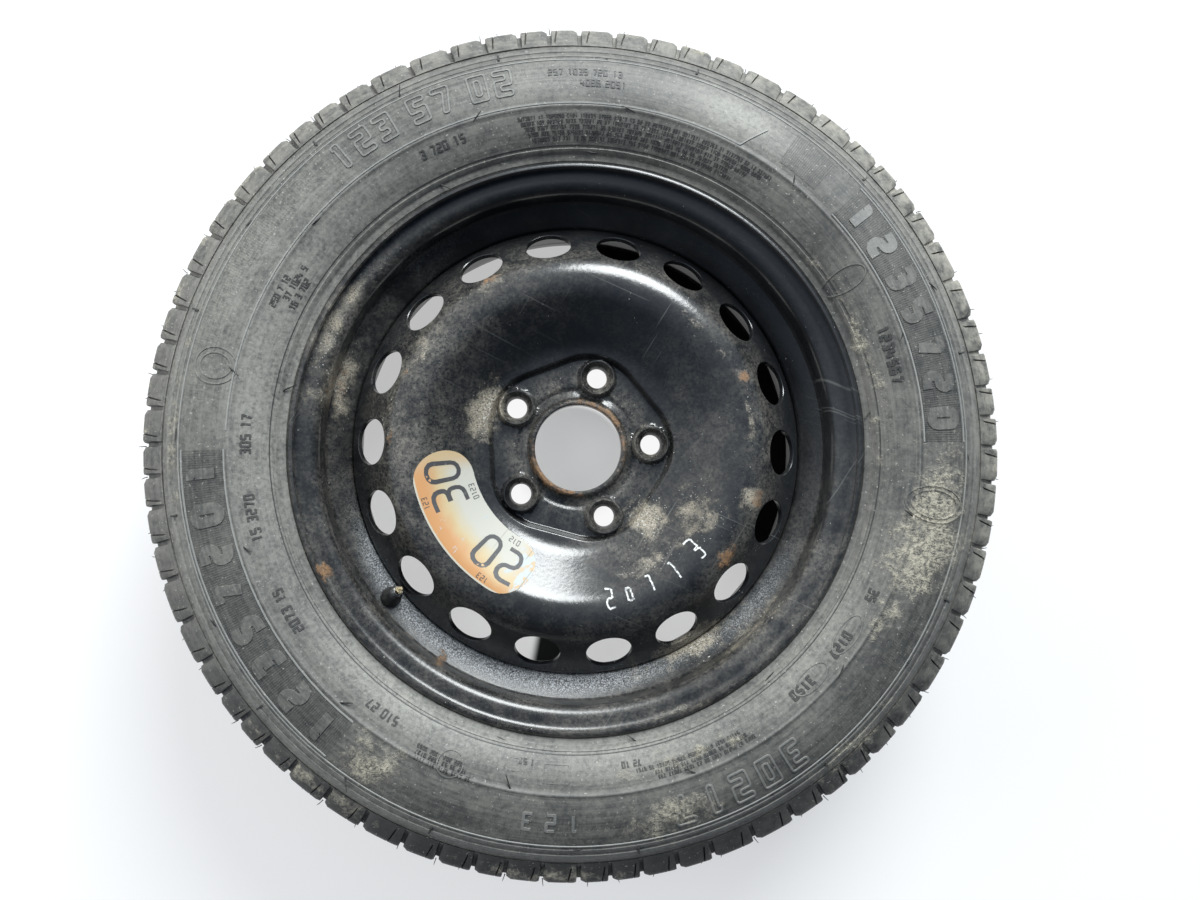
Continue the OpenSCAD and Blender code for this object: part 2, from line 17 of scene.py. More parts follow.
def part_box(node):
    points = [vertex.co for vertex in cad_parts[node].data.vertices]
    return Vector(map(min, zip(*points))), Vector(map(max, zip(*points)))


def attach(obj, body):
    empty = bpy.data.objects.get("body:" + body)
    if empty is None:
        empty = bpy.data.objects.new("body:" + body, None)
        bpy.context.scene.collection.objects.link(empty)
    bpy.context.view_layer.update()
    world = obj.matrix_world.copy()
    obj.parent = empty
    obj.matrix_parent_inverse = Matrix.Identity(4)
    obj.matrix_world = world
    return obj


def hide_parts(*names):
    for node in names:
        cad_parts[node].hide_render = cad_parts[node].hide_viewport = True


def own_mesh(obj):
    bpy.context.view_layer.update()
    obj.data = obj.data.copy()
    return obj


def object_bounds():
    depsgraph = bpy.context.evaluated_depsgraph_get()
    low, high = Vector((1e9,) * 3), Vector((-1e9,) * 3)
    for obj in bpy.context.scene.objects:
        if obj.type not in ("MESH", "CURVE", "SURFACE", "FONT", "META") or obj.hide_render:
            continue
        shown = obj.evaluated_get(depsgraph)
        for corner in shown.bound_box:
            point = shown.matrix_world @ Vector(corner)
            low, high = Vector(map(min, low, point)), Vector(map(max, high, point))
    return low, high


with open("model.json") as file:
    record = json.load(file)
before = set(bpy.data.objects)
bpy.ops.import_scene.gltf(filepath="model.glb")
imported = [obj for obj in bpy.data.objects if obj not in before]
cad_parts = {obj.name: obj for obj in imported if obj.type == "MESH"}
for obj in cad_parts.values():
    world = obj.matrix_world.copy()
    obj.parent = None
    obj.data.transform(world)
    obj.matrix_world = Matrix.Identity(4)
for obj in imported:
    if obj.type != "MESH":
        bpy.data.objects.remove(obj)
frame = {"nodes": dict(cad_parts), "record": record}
cad_low, cad_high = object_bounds()
MM = 0.001

# Sizes that the frame gives
mounts = {m["name"]: m for m in frame["record"]["mounts"]}
BORE_R = mounts["hub_bore"]["dims"]["r_mm"]
BOLT_R = mounts["wheel_bolts"]["dims"]["pcd_mm"] / 2
BOLT_HOLE_R = mounts["wheel_bolts"]["dims"]["hole_r_mm"]
BOLT_COUNT = mounts["wheel_bolts"]["dims"]["count"]
rim_low, rim_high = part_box("rim")
INSET = -(rim_low.z + rim_high.z) / 2 / MM
FLOOR_Z = cad_low.z / MM

# Rim section: half width, bead seat, flange, hump and well
HALF_W = 76.2
SEAT_R = 190.1
FLANGE_R = 207.4
FLANGE_TIP_W = 88.7
LIP_R = 203.0
RIM_T = 2.5
SEAT_END_R = 188.57
HUMP_W = 54.5
HUMP_R = 190.6
WELL_R = 172.8
VALVE_TILT = 36
VALVE_HOLE_R = 5.75
WALL_TOP = (50.0, 187.8)
WALL_FOOT = (WALL_TOP[0] - (WALL_TOP[1] - WELL_R) * math.tan(math.radians(VALVE_TILT)), WELL_R)
FRONT_LINE = [(FLANGE_TIP_W, LIP_R, 0), (FLANGE_TIP_W, FLANGE_R, 3.9), (HALF_W, FLANGE_R, 8.5),
              (HALF_W, SEAT_R, 6.5), (58.7, SEAT_END_R, 5), (HUMP_W + 1.2, HUMP_R, 2.5),
              (HUMP_W - 1.2, HUMP_R, 2.5), (*WALL_TOP, 3), (*WALL_FOOT, 3), (10, WELL_R, 12)]
BACK_LINE = [(-14, 184.0, 16), (-50, 187.2, 5), (1.2 - HUMP_W, HUMP_R, 2.5), (-1.2 - HUMP_W, HUMP_R, 2.5),
             (-58.7, SEAT_END_R, 5), (-HALF_W, SEAT_R, 6.5), (-HALF_W, FLANGE_R, 8.5),
             (-FLANGE_TIP_W, FLANGE_R, 3.9), (-FLANGE_TIP_W, LIP_R, 0)]

# Disc: pad, recess, bowl, crown, flank with its vents, and skirt
DISC_T = 3.7
BOLT_TURN = 2.9
SEAT_R_TOP = 12.0
SEAT_TOP_Z = 12.2
SEAT_FOOT_Z = SEAT_TOP_Z - (SEAT_R_TOP - BOLT_HOLE_R) / math.tan(math.radians(30))
LOBE_AT = 28.0
LOBE_R = 42.5
RECESS_WALL = 3.4
SKIRT_R = 170.25
SKIRT_END_Z = -27.0
FLANK_FALL = 47
VENT_COUNT = 18
VENT_STEP = 360 // VENT_COUNT
VENT_TURN = -1.4
VENT_R = 153.0
VENT_Z = 17.0
VENT_D = 34.0
VENT_BEVEL = 0.45
BOWL_LINE = [(56, 8.6, 0), (75, 10.2, 30), (126.79, 45.11, 26), (SKIRT_R, -1.5, 10),
             (SKIRT_R, SKIRT_END_Z, 0)]
LIP_LINE = [(BORE_R + out, z, bend) for out, z, bend in (
    (0, 8.6, 0), (0.8, 9.4, 0.5), (2.3, 9.4, 0.7), (3.6, 8.4, 0.8), (5.6, 4.9, 2), (8.6, 3.5, 1),
    (10.1, 3.0, 0.6), (11.4, 2.6, 1.5), (14.5, DISC_T, 2), (18, DISC_T, 0))]

# Tyre section
TYRE_R = 317.25
BEAD_GAP = 0.15
BELLY_BEND = 65.3
BELLY_W = 35.2
BELLY_R = 252.4
LOWER_R = 212.0
UPPER_R = 294.05
TREAD_HALF_W = 75.5
FLAT_W = TREAD_HALF_W - 12
RIB_W = 46
CROWN_ROUND = 527.8
TOE_W = 61.2
TOE_R = 188.94
SIDEWALL_T = 7.5
CROWN_T = 14.0
GROOVES = (13, 42)
GROOVE_W = 8.0
GROOVE_DEPTH = 7.2
SLOT_DEPTH = 5.5
RINGS = ((214.5, 2.2, 0.7), (243.6, 1.4, 0.5), (283, 1.4, 0.5), (288, 1.8, 0.6))
PANELS = ((0.5, 42), (181, 50))
PITCH_LENGTHS = (0.86, 1, 1.2)
PITCH_ORDER = (0, 0, 1, 1, 2, 2, 1, 0, 0, 1, 2, 2, 2, 1, 1, 0, 1, 1) * 4

# Label and valve
LABEL_IN_R = 80
LABEL_OUT_R = 122
LABEL_TURN = 216
LABEL_SWEEP = 44
LABEL_FACES = (0.27, 0.03)
VALVE_TURN = 218.7
SPRING_TURNS = 6

rng = np.random.default_rng(15)


# Lines in a section

def unit(v):
    """The vector brought to length 1."""
    return v / np.linalg.norm(v)


def run(line):
    """How far along the line each of its points lies."""
    return np.concatenate([[0], np.cumsum(np.linalg.norm(np.diff(line, axis=0), axis=1))])


def at(line, distance):
    """The points that lie at these distances along the line."""
    s = run(line)
    return np.stack([np.interp(distance, s, line[:, k]) for k in range(line.shape[1])], -1)


def bent(corners, step=9):
    """The line through (x, y, bend) corners, where each corner is an arc of radius bend that touches both
    of its sides: the arc's centre is bend / sin(half the angle) from the corner, on the angle's middle."""
    parts = []
    for i, (x, y, bend) in enumerate(corners):
        b = np.array([x, y], float)
        if bend == 0 or i in (0, len(corners) - 1):
            parts.append(b[None])
            continue
        u, v = unit(np.array(corners[i - 1][:2]) - b), unit(np.array(corners[i + 1][:2]) - b)
        half = math.acos(u @ v) / 2
        centre = b + unit(u + v) * bend / math.sin(half)
        p, q = b + u * bend / math.tan(half) - centre, b + v * bend / math.tan(half) - centre
        start = math.atan2(p[1], p[0])
        sweep = (math.atan2(q[1], q[0]) - start + 3 * math.pi) % (2 * math.pi) - math.pi
        turn = start + sweep * np.linspace(0, 1, max(3, 1 + math.ceil(abs(math.degrees(sweep)) / step)))
        parts.append(centre + bend * np.stack([np.cos(turn), np.sin(turn)], 1))
    return np.concatenate(parts)


def evened(line, gap):
    """The same line with points added, so that none lie further apart than gap. A part as long as a whole
    number of gaps gets that many, whatever the last digit of its length."""
    s = run(line)
    count = np.maximum(1, np.ceil(np.diff(s) / gap - 1e-6)).astype(int)
    return at(line, np.concatenate([np.linspace(a, b, n, endpoint=False)
                                    for a, b, n in zip(s[:-1], s[1:], count)] + [s[-1:]]))


def beside(line, distance):
    """The line moved to its left by distance: each point goes along the mean of its two sides' normals,
    lengthened so that both sides move by the whole distance."""
    d = np.diff(line, axis=0)
    d /= np.linalg.norm(d, axis=1, keepdims=True)
    before, after = np.vstack([d[:1], d]), np.vstack([d, d[-1:]])
    left = np.stack([-(before + after)[:, 1], (before + after)[:, 0]], 1)
    left /= np.linalg.norm(left, axis=1, keepdims=True)
    own = np.stack([-after[:, 1], after[:, 0]], 1)
    return line + left * distance / np.sum(left * own, 1, keepdims=True)


def smooth(x):
    """0 below 0, 1 above 1, and 3x^2 - 2x^3 between."""
    x = np.clip(x, 0, 1)
    return x * x * (3 - 2 * x)


def polar(radius, azimuth, z):
    """Points at a radius, an azimuth in degrees and a height, which may be arrays that broadcast."""
    a = np.radians(azimuth)
    x, y, z = np.broadcast_arrays(radius * np.cos(a), radius * np.sin(a), z)
    return np.stack([x, y, z], -1).astype(float)


def along_ray(points, turn):
    """How far points lie out along the ray at an azimuth, and how far to its side."""
    a = math.radians(turn)
    x, y = points[:, 0], points[:, 1]
    return x * math.cos(a) + y * math.sin(a), y * math.cos(a) - x * math.sin(a)


def from_ray(out, side, z, turn):
    """Points from their distances along the ray at an azimuth and to its side, and their heights."""
    a = math.radians(turn)
    x, y = out * math.cos(a) - side * math.sin(a), out * math.sin(a) + side * math.cos(a)
    return np.stack([x, y, z + 0 * out], 1)


# Meshes from grids

class Shell:
    """The points and quads of one piece, collected from several grids."""

    def __init__(self):
        # tone holds one value for each point: above 0 a painted highlight, below 0 painted shade
        self.points, self.quads, self.tones, self.count, self.tone = [], [], [], 0, 0.0

    def add(self, points):
        """Takes a grid of points (..., 3) and gives their numbers in the same layout."""
        numbers = self.count + np.arange(points[..., 0].size).reshape(points.shape[:-1])
        self.points.append(points.reshape(-1, 3))
        self.tones.append(np.full(numbers.size, self.tone))
        self.count += numbers.size
        return numbers

    def skin(self, n, around=False, along=False, keep=None):
        """Quads between neighbours in a grid of numbers, closed in its first or second direction if wanted.
        keep is a grid of which quads to make."""
        if around:
            n = np.vstack([n, n[:1]])
        if along:
            n = np.hstack([n, n[:, :1]])
        quads = np.stack([n[:-1, :-1], n[1:, :-1], n[1:, 1:], n[:-1, 1:]], -1)
        self.quads.append(quads[keep] if keep is not None else quads.reshape(-1, 4))

    def cap(self, ring):
        """Closes a loop of an even count of numbers with a fan of quads."""
        self.quads.append(np.array([[ring[0], *ring[k + 1:k + 4]] for k in range(0, len(ring) - 2, 2)]))

    def piece(self, name, sharp=38):
        """The mesh object, with its faces turned outwards and creases sharper than sharp left unsmoothed."""
        points = np.concatenate(self.points) * MM
        quads = np.concatenate(self.quads)
        mesh = bpy.data.meshes.new(name)
        mesh.vertices.add(len(points))
        mesh.vertices.foreach_set("co", points.astype(np.float32).ravel())
        mesh.loops.add(quads.size)
        mesh.loops.foreach_set("vertex_index", quads.astype(np.int32).ravel())
        mesh.polygons.add(len(quads))
        mesh.polygons.foreach_set("loop_start", np.arange(0, quads.size, 4, dtype=np.int32))
        mesh.update(calc_edges=True)
        work = bmesh.new()
        work.from_mesh(mesh)
        bmesh.ops.recalc_face_normals(work, faces=work.faces)
        work.to_mesh(mesh)
        work.free()
        mesh.shade_smooth()
        mesh.set_sharp_from_angle(angle=math.radians(sharp))
        made = bpy.data.objects.new(name, mesh)
        bpy.context.scene.collection.objects.link(made)
        mark(made, "tone", np.concatenate(self.tones))
        return made


def points_of(piece):
    """A piece's points in millimetres."""
    co = np.zeros(len(piece.data.vertices) * 3, np.float32)
    piece.data.vertices.foreach_get("co", co)
    return co.reshape(-1, 3).astype(float) / MM


def mark(piece, name, values):
    """Stores one number for each point of the piece, for its material to read."""
    piece.data.attributes.new(name, "FLOAT", "POINT").data.foreach_set("value", values.astype(np.float32))


def patches(points, spots):
    """Strength from 0 to 1 at each point, for spots of (azimuth, radius, half angle, half breadth, strength):
    each spot fades as a bell curve round its middle, and the strongest spot wins."""
    azimuth = np.degrees(np.arctan2(points[:, 1], points[:, 0]))
    radius = np.hypot(points[:, 0], points[:, 1])
    found = np.zeros(len(points))
    for turn, r, half_turn, half_r, strength in spots:
        away = (azimuth - turn + 180) % 360 - 180
        found = np.maximum(found, strength * np.exp(-(away / half_turn) ** 2 - ((radius - r) / half_r) ** 2))
    return found


def dress(piece, material, body="wheel", replaces=()):
    """Gives a piece its material, its body and the solids that it stands for."""
    piece.data.materials.clear()
    piece.data.materials.append(material)
    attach(piece, body)
    if replaces:
        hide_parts(*replaces)
    return piece


def block_loop(n, rows, columns):
    """The numbers on the edge of a block of a grid, in order round it. rows wraps round the wheel."""
    i = np.arange(rows[0], rows[1] + 1) % len(n)
    j = np.arange(columns[0], columns[1] + 1)
    return np.concatenate([n[i[:-1], j[0]], n[i[-1], j[:-1]], n[i[:0:-1], j[-1]], n[i[0], j[:0:-1]]])


def punch(shell, n, keep, rows, columns, hole, surface, blend=3):
    """Takes a block of quads out of a grid and fills it with rings round a hole. hole is a list of loops
    (m, 3), the hole's edge first, and between the last of them and the block's edge each point moves
    in a straight line in plan and takes its height from surface(x, y). Gives the hole's edge numbers."""
    i = np.arange(rows[0], rows[1]) % len(n)
    keep[np.ix_(i, np.arange(columns[0], columns[1]))] = False
    edge = block_loop(n, rows, columns)
    outer = np.concatenate(shell.points)[edge]
    share = np.linspace(0, 1, blend + 1, endpoint=False)[1:, None, None]
    between = hole[-1] + (outer - hole[-1]) * share
    between[..., 2] = surface(between[..., 0], between[..., 1])
    rings = shell.add(np.concatenate([np.array(hole), between]))
    shell.skin(np.vstack([rings, edge[None]]), along=True)
    return rings[0]


def punch_through(shell, sides, keeps, rows, columns, hole_at, blend):
    """Punches one hole through a front and a back grid and joins its two edges. hole_at(k, edge) gives side
    k's loops, with one point for each point of its block's edge, and its surface."""
    edges = []
    for k, (n, keep) in enumerate(zip(sides, keeps)):
        loops, surface = hole_at(k, np.concatenate(shell.points)[block_loop(n, rows, columns)])
        edges.append(punch(shell, n, keep, rows, columns, loops, surface, blend))
    shell.skin(np.array(edges), along=True)


# Rim

def valve_hole(outer, inner):
    """The valve hole's loops: ellipses in plan round the middle of the well's wall, which lie on the wall's
    own line, and on the inner side a sheet's thickness further in."""
    tilt = math.radians(VALVE_TILT)

    def hole_at(k, edge):
        line = (outer, inner)[k]
        wall = line[(line[:, 0] > WALL_FOOT[0] - 6) & (line[:, 0] < WALL_TOP[0] + 1)]
        wall = wall[np.argsort(wall[:, 1])]

        def height(x, y):
            return np.interp(np.hypot(x, y), wall[:, 1], wall[:, 0] - INSET)
        middle = (WALL_TOP[1] + WALL_FOOT[1]) / 2 - k * RIM_T * math.sin(tilt)
        out, side = along_ray(edge, VALVE_TURN)
        angle = np.arctan2(side, (out - middle) / math.cos(tilt))
        loops = []
        for radius in (VALVE_HOLE_R, VALVE_HOLE_R + 0.55):
            out, side = middle + radius * np.cos(angle) * math.cos(tilt), radius * np.sin(angle)
            loops.append(from_ray(out, side, height(out, side), VALVE_TURN))
        return loops, height
    return hole_at


def make_rim():
    """The rolled rim: its section line and the same line moved by the sheet's thickness, turned about the
    axis, joined at the two flange edges, with the valve hole punched through the well's front wall."""
    count = 360
    outer = evened(bent(FRONT_LINE + BACK_LINE, 12), 6)
    inner = beside(outer, RIM_T)
    azimuth = VALVE_TURN + np.arange(count)[:, None] * 360 / count
    shell = Shell()
    sides = [shell.add(polar(line[None, :, 1], azimuth, line[None, :, 0] - INSET)) for line in (outer, inner)]
    keeps = [np.ones((count, len(outer) - 1), bool) for _ in sides]
    low, high = np.array([WALL_FOOT, WALL_TOP]) + [[0, 0.6], [0, -0.6]]
    on_wall = np.nonzero(((outer > low) & (outer < high)).all(1))[0]
    punch_through(shell, sides, keeps, (-4, 4), (on_wall[0], on_wall[-1]), valve_hole(outer, inner), 1)
    for n, keep in zip(sides, keeps):
        shell.skin(n, around=True, keep=keep)
    for k in (0, -1):
        ridge_w, ridge_r = (outer[k] + inner[k]) / 2
        ridge = shell.add(polar(ridge_r - 0.9, azimuth[:, 0], ridge_w - INSET))
        shell.skin(np.stack([sides[0][:, k], ridge, sides[1][:, k]], 1), around=True)
    return shell.piece("rim_dressed")


# Disc

def recess_radius(azimuth):
    """Radius of the recess's outline: a lobe's circle within reach of its bolt, and between two lobes the
    straight tangent of both, which lies LOBE_AT cos 36 + LOBE_R from the axis."""
    a = np.radians(np.abs((azimuth - BOLT_TURN + 36) % 72 - 36))
    half = math.radians(36)
    lobe = LOBE_AT * np.cos(a) + np.sqrt(LOBE_R ** 2 - (LOBE_AT * np.sin(a)) ** 2)
    tangent = (LOBE_AT * math.cos(half) + LOBE_R) / np.cos(half - a)
    reach = math.atan2(LOBE_R * math.sin(half), LOBE_AT + LOBE_R * math.cos(half))
    return np.where(a < reach, lobe, tangent)


bowl_front = bent(BOWL_LINE, 6)
bowl_back = beside(bowl_front, -DISC_T)
lip_front = bent(LIP_LINE, 15)


def over_skirt(line):
    """The part of a bowl line above the skirt, where its height depends on its radius alone."""
    return line[:np.argmax(line[:, 0])]


def bolt_distance(x, y):
    """Distance in plan from the nearest wheel bolt's centre."""
    a = np.radians((np.degrees(np.arctan2(y, x)) - BOLT_TURN + 36) % 72 - 36)
    r = np.hypot(x, y)
    return np.hypot(r * np.cos(a) - BOLT_R, r * np.sin(a))


def disc_front(x, y):
    """Height of the disc's front: the lip's line near the bore, the flat pad, a rounded step up at the
    recess's outline to the bowl's line, and the five seats blended on where they are higher."""
    r, azimuth = np.hypot(x, y), np.degrees(np.arctan2(y, x))
    pad = np.interp(r, lip_front[:, 0], lip_front[:, 1])
    bowl = np.interp(r, *over_skirt(bowl_front).T)
    rise = smooth((r - recess_radius(azimuth) + 2.4) / 4.4)
    ground = pad * (1 - rise) + bowl * rise
    away = bolt_distance(x, y)
    seat = np.interp(away, [BOLT_HOLE_R, SEAT_R_TOP, SEAT_R_TOP + 0.6, SEAT_R_TOP + 1.1, SEAT_R_TOP + 3],
                     [SEAT_FOOT_Z, SEAT_TOP_Z, SEAT_TOP_Z, SEAT_TOP_Z - 0.5, DISC_T - 1.4])
    soft = 0.9
    blended = soft * np.logaddexp(ground / soft, seat / soft)
    return np.where(away < SEAT_R_TOP + 0.8, seat, np.where(away < SEAT_R_TOP + 4, blended, ground))


def disc_back(x, y):
    """Height of the disc's back: the flat mounting face, and a step up to the back of the bowl."""
    r, azimuth = np.hypot(x, y), np.degrees(np.arctan2(y, x))
    bowl = np.interp(r, *over_skirt(bowl_back).T)
    return bowl * smooth((r - recess_radius(azimuth) - RECESS_WALL + 1.6) / 2)


def vent_edge(angle, radius, line, depth):
    """The loop where a cylinder of that radius, square to the flank, meets a bowl line: from the tangent
    plane at the vent's centre each point slides along the cylinder until it lies on the turned line."""
    fall = math.radians(FLANK_FALL)
    axis = np.array([math.sin(fall), math.cos(fall)])
    centre = np.array([VENT_R, VENT_Z]) - depth * axis
    down = radius * np.cos(angle)
    side = radius * np.sin(angle)
    slide = np.zeros_like(angle)
    for _ in range(12):
        out = centre[0] + down * math.cos(fall) + slide * axis[0]
        z = centre[1] - down * math.sin(fall) + slide * axis[1]
        slide += (np.interp(np.hypot(out, side), *over_skirt(line).T) - z) * axis[1]
    return out, side, z


def seat_hole(turn):
    """A wheel bolt hole's loops: circles round it, which take their height from the disc's surface."""
    centre = polar(BOLT_R, turn, 0)
    front_r = (BOLT_HOLE_R, 9.4, 11, SEAT_R_TOP, SEAT_R_TOP + 0.6, SEAT_R_TOP + 1.0)
    back_r = (BOLT_HOLE_R, 8.2, 9.8, 11.4, 12.4, 13.0)

    def hole_at(k, edge):
        surface = (disc_front, disc_back)[k]
        angle = np.arctan2(*(edge - centre)[:, 1::-1].T)
        loops = []
        for r in (front_r, back_r)[k]:
            x, y = centre[0] + r * np.cos(angle), centre[1] + r * np.sin(angle)
            loops.append(np.stack([x, y, surface(x, y)], 1))
        return loops, surface
    return hole_at


def vent_hole(turn):
    """A vent's loops: its edge, sunk a little, and a bevel's width outside it, where a cylinder square to the
    flank meets the bowl's line."""
    fall = math.radians(FLANK_FALL)

    def hole_at(k, edge):
        line, depth = ((bowl_front, 0), (bowl_back, DISC_T))[k]
        out, side = along_ray(edge, turn)
        angle = np.arctan2(side, (out - VENT_R + depth * math.sin(fall)) / math.cos(fall))
        loops = []
        for radius, sunk in ((VENT_D / 2, VENT_BEVEL), (VENT_D / 2 + VENT_BEVEL, 0)):
            out, side, z = vent_edge(angle, radius, line, depth)
            inward = sunk if k else -sunk
            loops.append(from_ray(out + inward * math.sin(fall), side, z + inward * math.cos(fall), turn))
        return loops, lambda x, y: np.interp(np.hypot(x, y), *over_skirt(line).T)
    return hole_at


def make_disc():
    """The pressed disc: rings round the axis on its front and its back, which follow the lip, the recess's
    outline, the bowl and the skirt, with five cone seats and eighteen vents punched through both."""
    count = 360
    azimuth = VENT_TURN + np.arange(count) * 360 / count
    recess = recess_radius(azimuth)
    lip = evened(lip_front[lip_front[:, 0] < BORE_R + 15], 1.2)[:, 0]
    lip[0] = BORE_R
    step_in, step_out, step_rings = -2.6, 2.2, 11
    shares = np.linspace(0, 1, 9)[1:-1]
    front_r = [np.full(count, r) for r in lip]
    front_r += [lip[-1] + (recess + step_in - lip[-1]) * s for s in shares]
    first_step = len(front_r)
    front_r += [recess + d for d in np.linspace(step_in, step_out, step_rings)]
    bowl = evened(bowl_front, 3.8)
    bowl = bowl[bowl[:, 0] > 75.5]
    front_r += [recess + step_out + (bowl[0, 0] - recess - step_out) * s for s in (0.34, 0.67)]
    back_r = np.array(front_r)
    back_step = RECESS_WALL + np.linspace(-1.7, 0.5, step_rings)
    back_r[first_step:first_step + step_rings] = recess + back_step[:, None]
    behind = beside(bowl, -DISC_T)
    behind[0] = [behind[0, 0], np.interp(behind[0, 0], *over_skirt(bowl_back).T)]

    shell = Shell()
    sides = []
    for rings, line, surface in ((np.array(front_r), bowl, disc_front), (back_r, behind, disc_back)):
        x, y = (rings * f(np.radians(azimuth)) for f in (np.cos, np.sin))
        flat = np.stack([x, y, surface(x, y)], -1).transpose(1, 0, 2)
        turned = polar(line[None, :, 0], azimuth[:, None], line[None, :, 1])
        sides.append(shell.add(np.concatenate([flat, turned], 1)))
    keeps = [np.ones((count, n.shape[1] - 1), bool) for n in sides]
    seat_columns = (int(np.argmin(np.abs(lip - (BORE_R + 9.0)))), first_step)
    for turn in BOLT_TURN + 72 * np.arange(BOLT_COUNT):
        row = round(turn - VENT_TURN)
        punch_through(shell, sides, keeps, (row - 17, row + 17), seat_columns, seat_hole(turn), 2)
    by_vent = np.nonzero((bowl[:, 0] > VENT_R - 16.5) & (bowl[:, 0] < VENT_R + 14.5) & (bowl[:, 1] > 0))[0]
    vent_columns = (len(front_r) + by_vent[0], len(front_r) + by_vent[-1])
    for row in VENT_STEP * np.arange(VENT_COUNT):
        punch_through(shell, sides, keeps, (row - 8, row + 8), vent_columns, vent_hole(VENT_TURN + row), 3)
    for n, keep in zip(sides, keeps):
        shell.skin(n, around=True, keep=keep)
    for k in (0, -1):
        shell.skin(np.stack([sides[0][:, k], sides[1][:, k]], 1), around=True)
    return shell.piece("disc_dressed")


# Tyre

def side_w(r, depth=0):
    """Half width of the tyre at a radius: an arc of radius BELLY_BEND less the depth."""
    return BELLY_W + np.sqrt((BELLY_BEND - depth) ** 2 - (r - BELLY_R) ** 2)


def tread_at(w):
    """Radius of the tread at a distance from the centre plane: a flat parabola."""
    return TYRE_R - w * w / (2 * CROWN_ROUND)


def ring_lift(r):
    """Height of the raised rings on the sidewall at a radius: flat tops with sides at 45 degrees."""
    return sum(np.clip(width / 2 + height - np.abs(r - at_r), 0, height) for at_r, width, height in RINGS)


def wall_point(r, azimuth, lift, side=1):
    """Points on a sidewall, lifted square to it: the arc's own normal runs through its centre."""
    w = side_w(r)
    out_w, out_r = (w - BELLY_W) / BELLY_BEND, (r - BELLY_R) / BELLY_BEND
    return polar(r + lift * out_r, azimuth, side * (w + lift * out_w) - INSET)


def wall_line():
    """The sidewall's outer line as (w, r), from the tread's edge over the rings and the bead to its toe."""
    marks = [UPPER_R - 1]
    for at_r, width, height in RINGS[::-1]:
        marks += [at_r + width / 2 + height, at_r + width / 2, at_r - width / 2, at_r - width / 2 - height]
    plain = np.arange(LOWER_R + 1.5, UPPER_R - 2, 2.6)
    marks = np.array(marks)
    plain = plain[np.abs(plain[:, None] - marks).min(1) > 0.8]
    r = np.sort(np.concatenate([marks, plain]))[::-1]
    side = np.stack([side_w(r) + ring_lift(r), r], 1)
    bead_w, over_flange = HALF_W - BEAD_GAP, FLANGE_R + BEAD_GAP
    bead = bent([(side_w(LOWER_R), LOWER_R, 0), (HALF_W + 9.5, over_flange, 1),
                 (bead_w, over_flange, 8.5 + BEAD_GAP), (bead_w, SEAT_R + BEAD_GAP, 6.5),
                 (TOE_W, TOE_R, 0)], 15)
    return np.concatenate([side, bead])


def liner_line():
    """The inner line as (w, r) from the toe up to the crown's middle."""
    r = LOWER_R + 2 + (UPPER_R - 14 - LOWER_R) * np.arange(1, 10) / 10
    top = bent([(side_w(UPPER_R - 11, SIDEWALL_T), UPPER_R - 11, 0),
                (TREAD_HALF_W - 8, TYRE_R - CROWN_T - 3.5, 18), (40, TYRE_R - CROWN_T - 1, 60),
                (0, TYRE_R - CROWN_T, 0)], 12)
    foot = np.array([(TOE_W, TOE_R + 2.9), (HALF_W - 12, SEAT_R + 10),
                     (side_w(LOWER_R, SIDEWALL_T) + 1, LOWER_R + 2)])
    return np.concatenate([foot, np.stack([side_w(r, SIDEWALL_T), r], 1), top])


def under_tread(depth):
    """A line as (w, r) below the tread, from the middle out to the edge."""
    w = np.array([0, 14, 28, 42, 56, 66, 71.5])
    return np.stack([w, tread_at(w) - depth], 1)


def mirrored(line):
    """A half section's line carried on over the centre plane."""
    return np.stack([-line[::-1, 0], line[::-1, 1]], 1)


def make_walls():
    """The carcass: sidewalls, beads and air side as one closed section turned about the axis. Its crown is
    a plain band that the tread covers."""
    count = 480
    outer = np.concatenate([under_tread(GROOVE_DEPTH + 1.2), [(75.5, 300.5)], wall_line()])
    half = np.concatenate([outer, liner_line()[:-1]])
    loop = np.concatenate([half, [(0, TYRE_R - CROWN_T)], mirrored(half)[:-1]])
    shell = Shell()
    azimuth = np.arange(count)[:, None] * 360 / count
    shell.skin(shell.add(polar(loop[None, :, 1], azimuth, loop[None, :, 0] - INSET)), around=True, along=True)
    return shell.piece("tyre_walls", 50)


def tread_columns():
    """The tread's section from the front edge to the middle, as (w, r, depth, share of the cross slots'
    width): the wall below the shoulder, the shoulder's bend and the ribs with their grooves."""
    shoulder = evened(bent([(FLAT_W, tread_at(FLAT_W), 0), (TREAD_HALF_W, tread_at(TREAD_HALF_W) - 0.3, 7),
                            (side_w(UPPER_R) + 0.8, UPPER_R, 0)], 15), 3)
    low = np.array([(side_w(UPPER_R) - 0.4, UPPER_R - 0.4)])
    columns = [(w, r, 0, 1) for w, r in np.concatenate([low, shoulder[::-1]])]
    rows = [(w, 0) for w in (60.5, 57.5, 54.5, 51.5, 48.7, 35, 32, 29.5, 27.5, 25, 22, 19.5, 6.5, 3.5, 0)]
    for groove in GROOVES:
        for away, depth in ((GROOVE_W / 2, 0), (GROOVE_W / 2 - 0.5, GROOVE_DEPTH)):
            rows += [(groove - away, depth), (groove + away, depth)]
        rows.append((groove, GROOVE_DEPTH + 0.25))
    columns += [(w, tread_at(w), depth, 1 if w > RIB_W else 0.62) for w, depth in sorted(rows, reverse=True)]
    return np.array(columns)


def row_shift(w):
    """How far in degrees the cross slots are turned at a distance w: straight on the shoulders, slanted
    on the ribs, and running through from one side to the other."""
    slant = 14.5 * math.degrees(math.tan(math.radians(24)) / TYRE_R)
    turns = [2.5, 3.7 - slant, 3.7 + slant, 1.2 + slant, 1.2 - slant, 0]
    return np.interp(w, [-90, -42, -13, 13, 42, 90], turns)


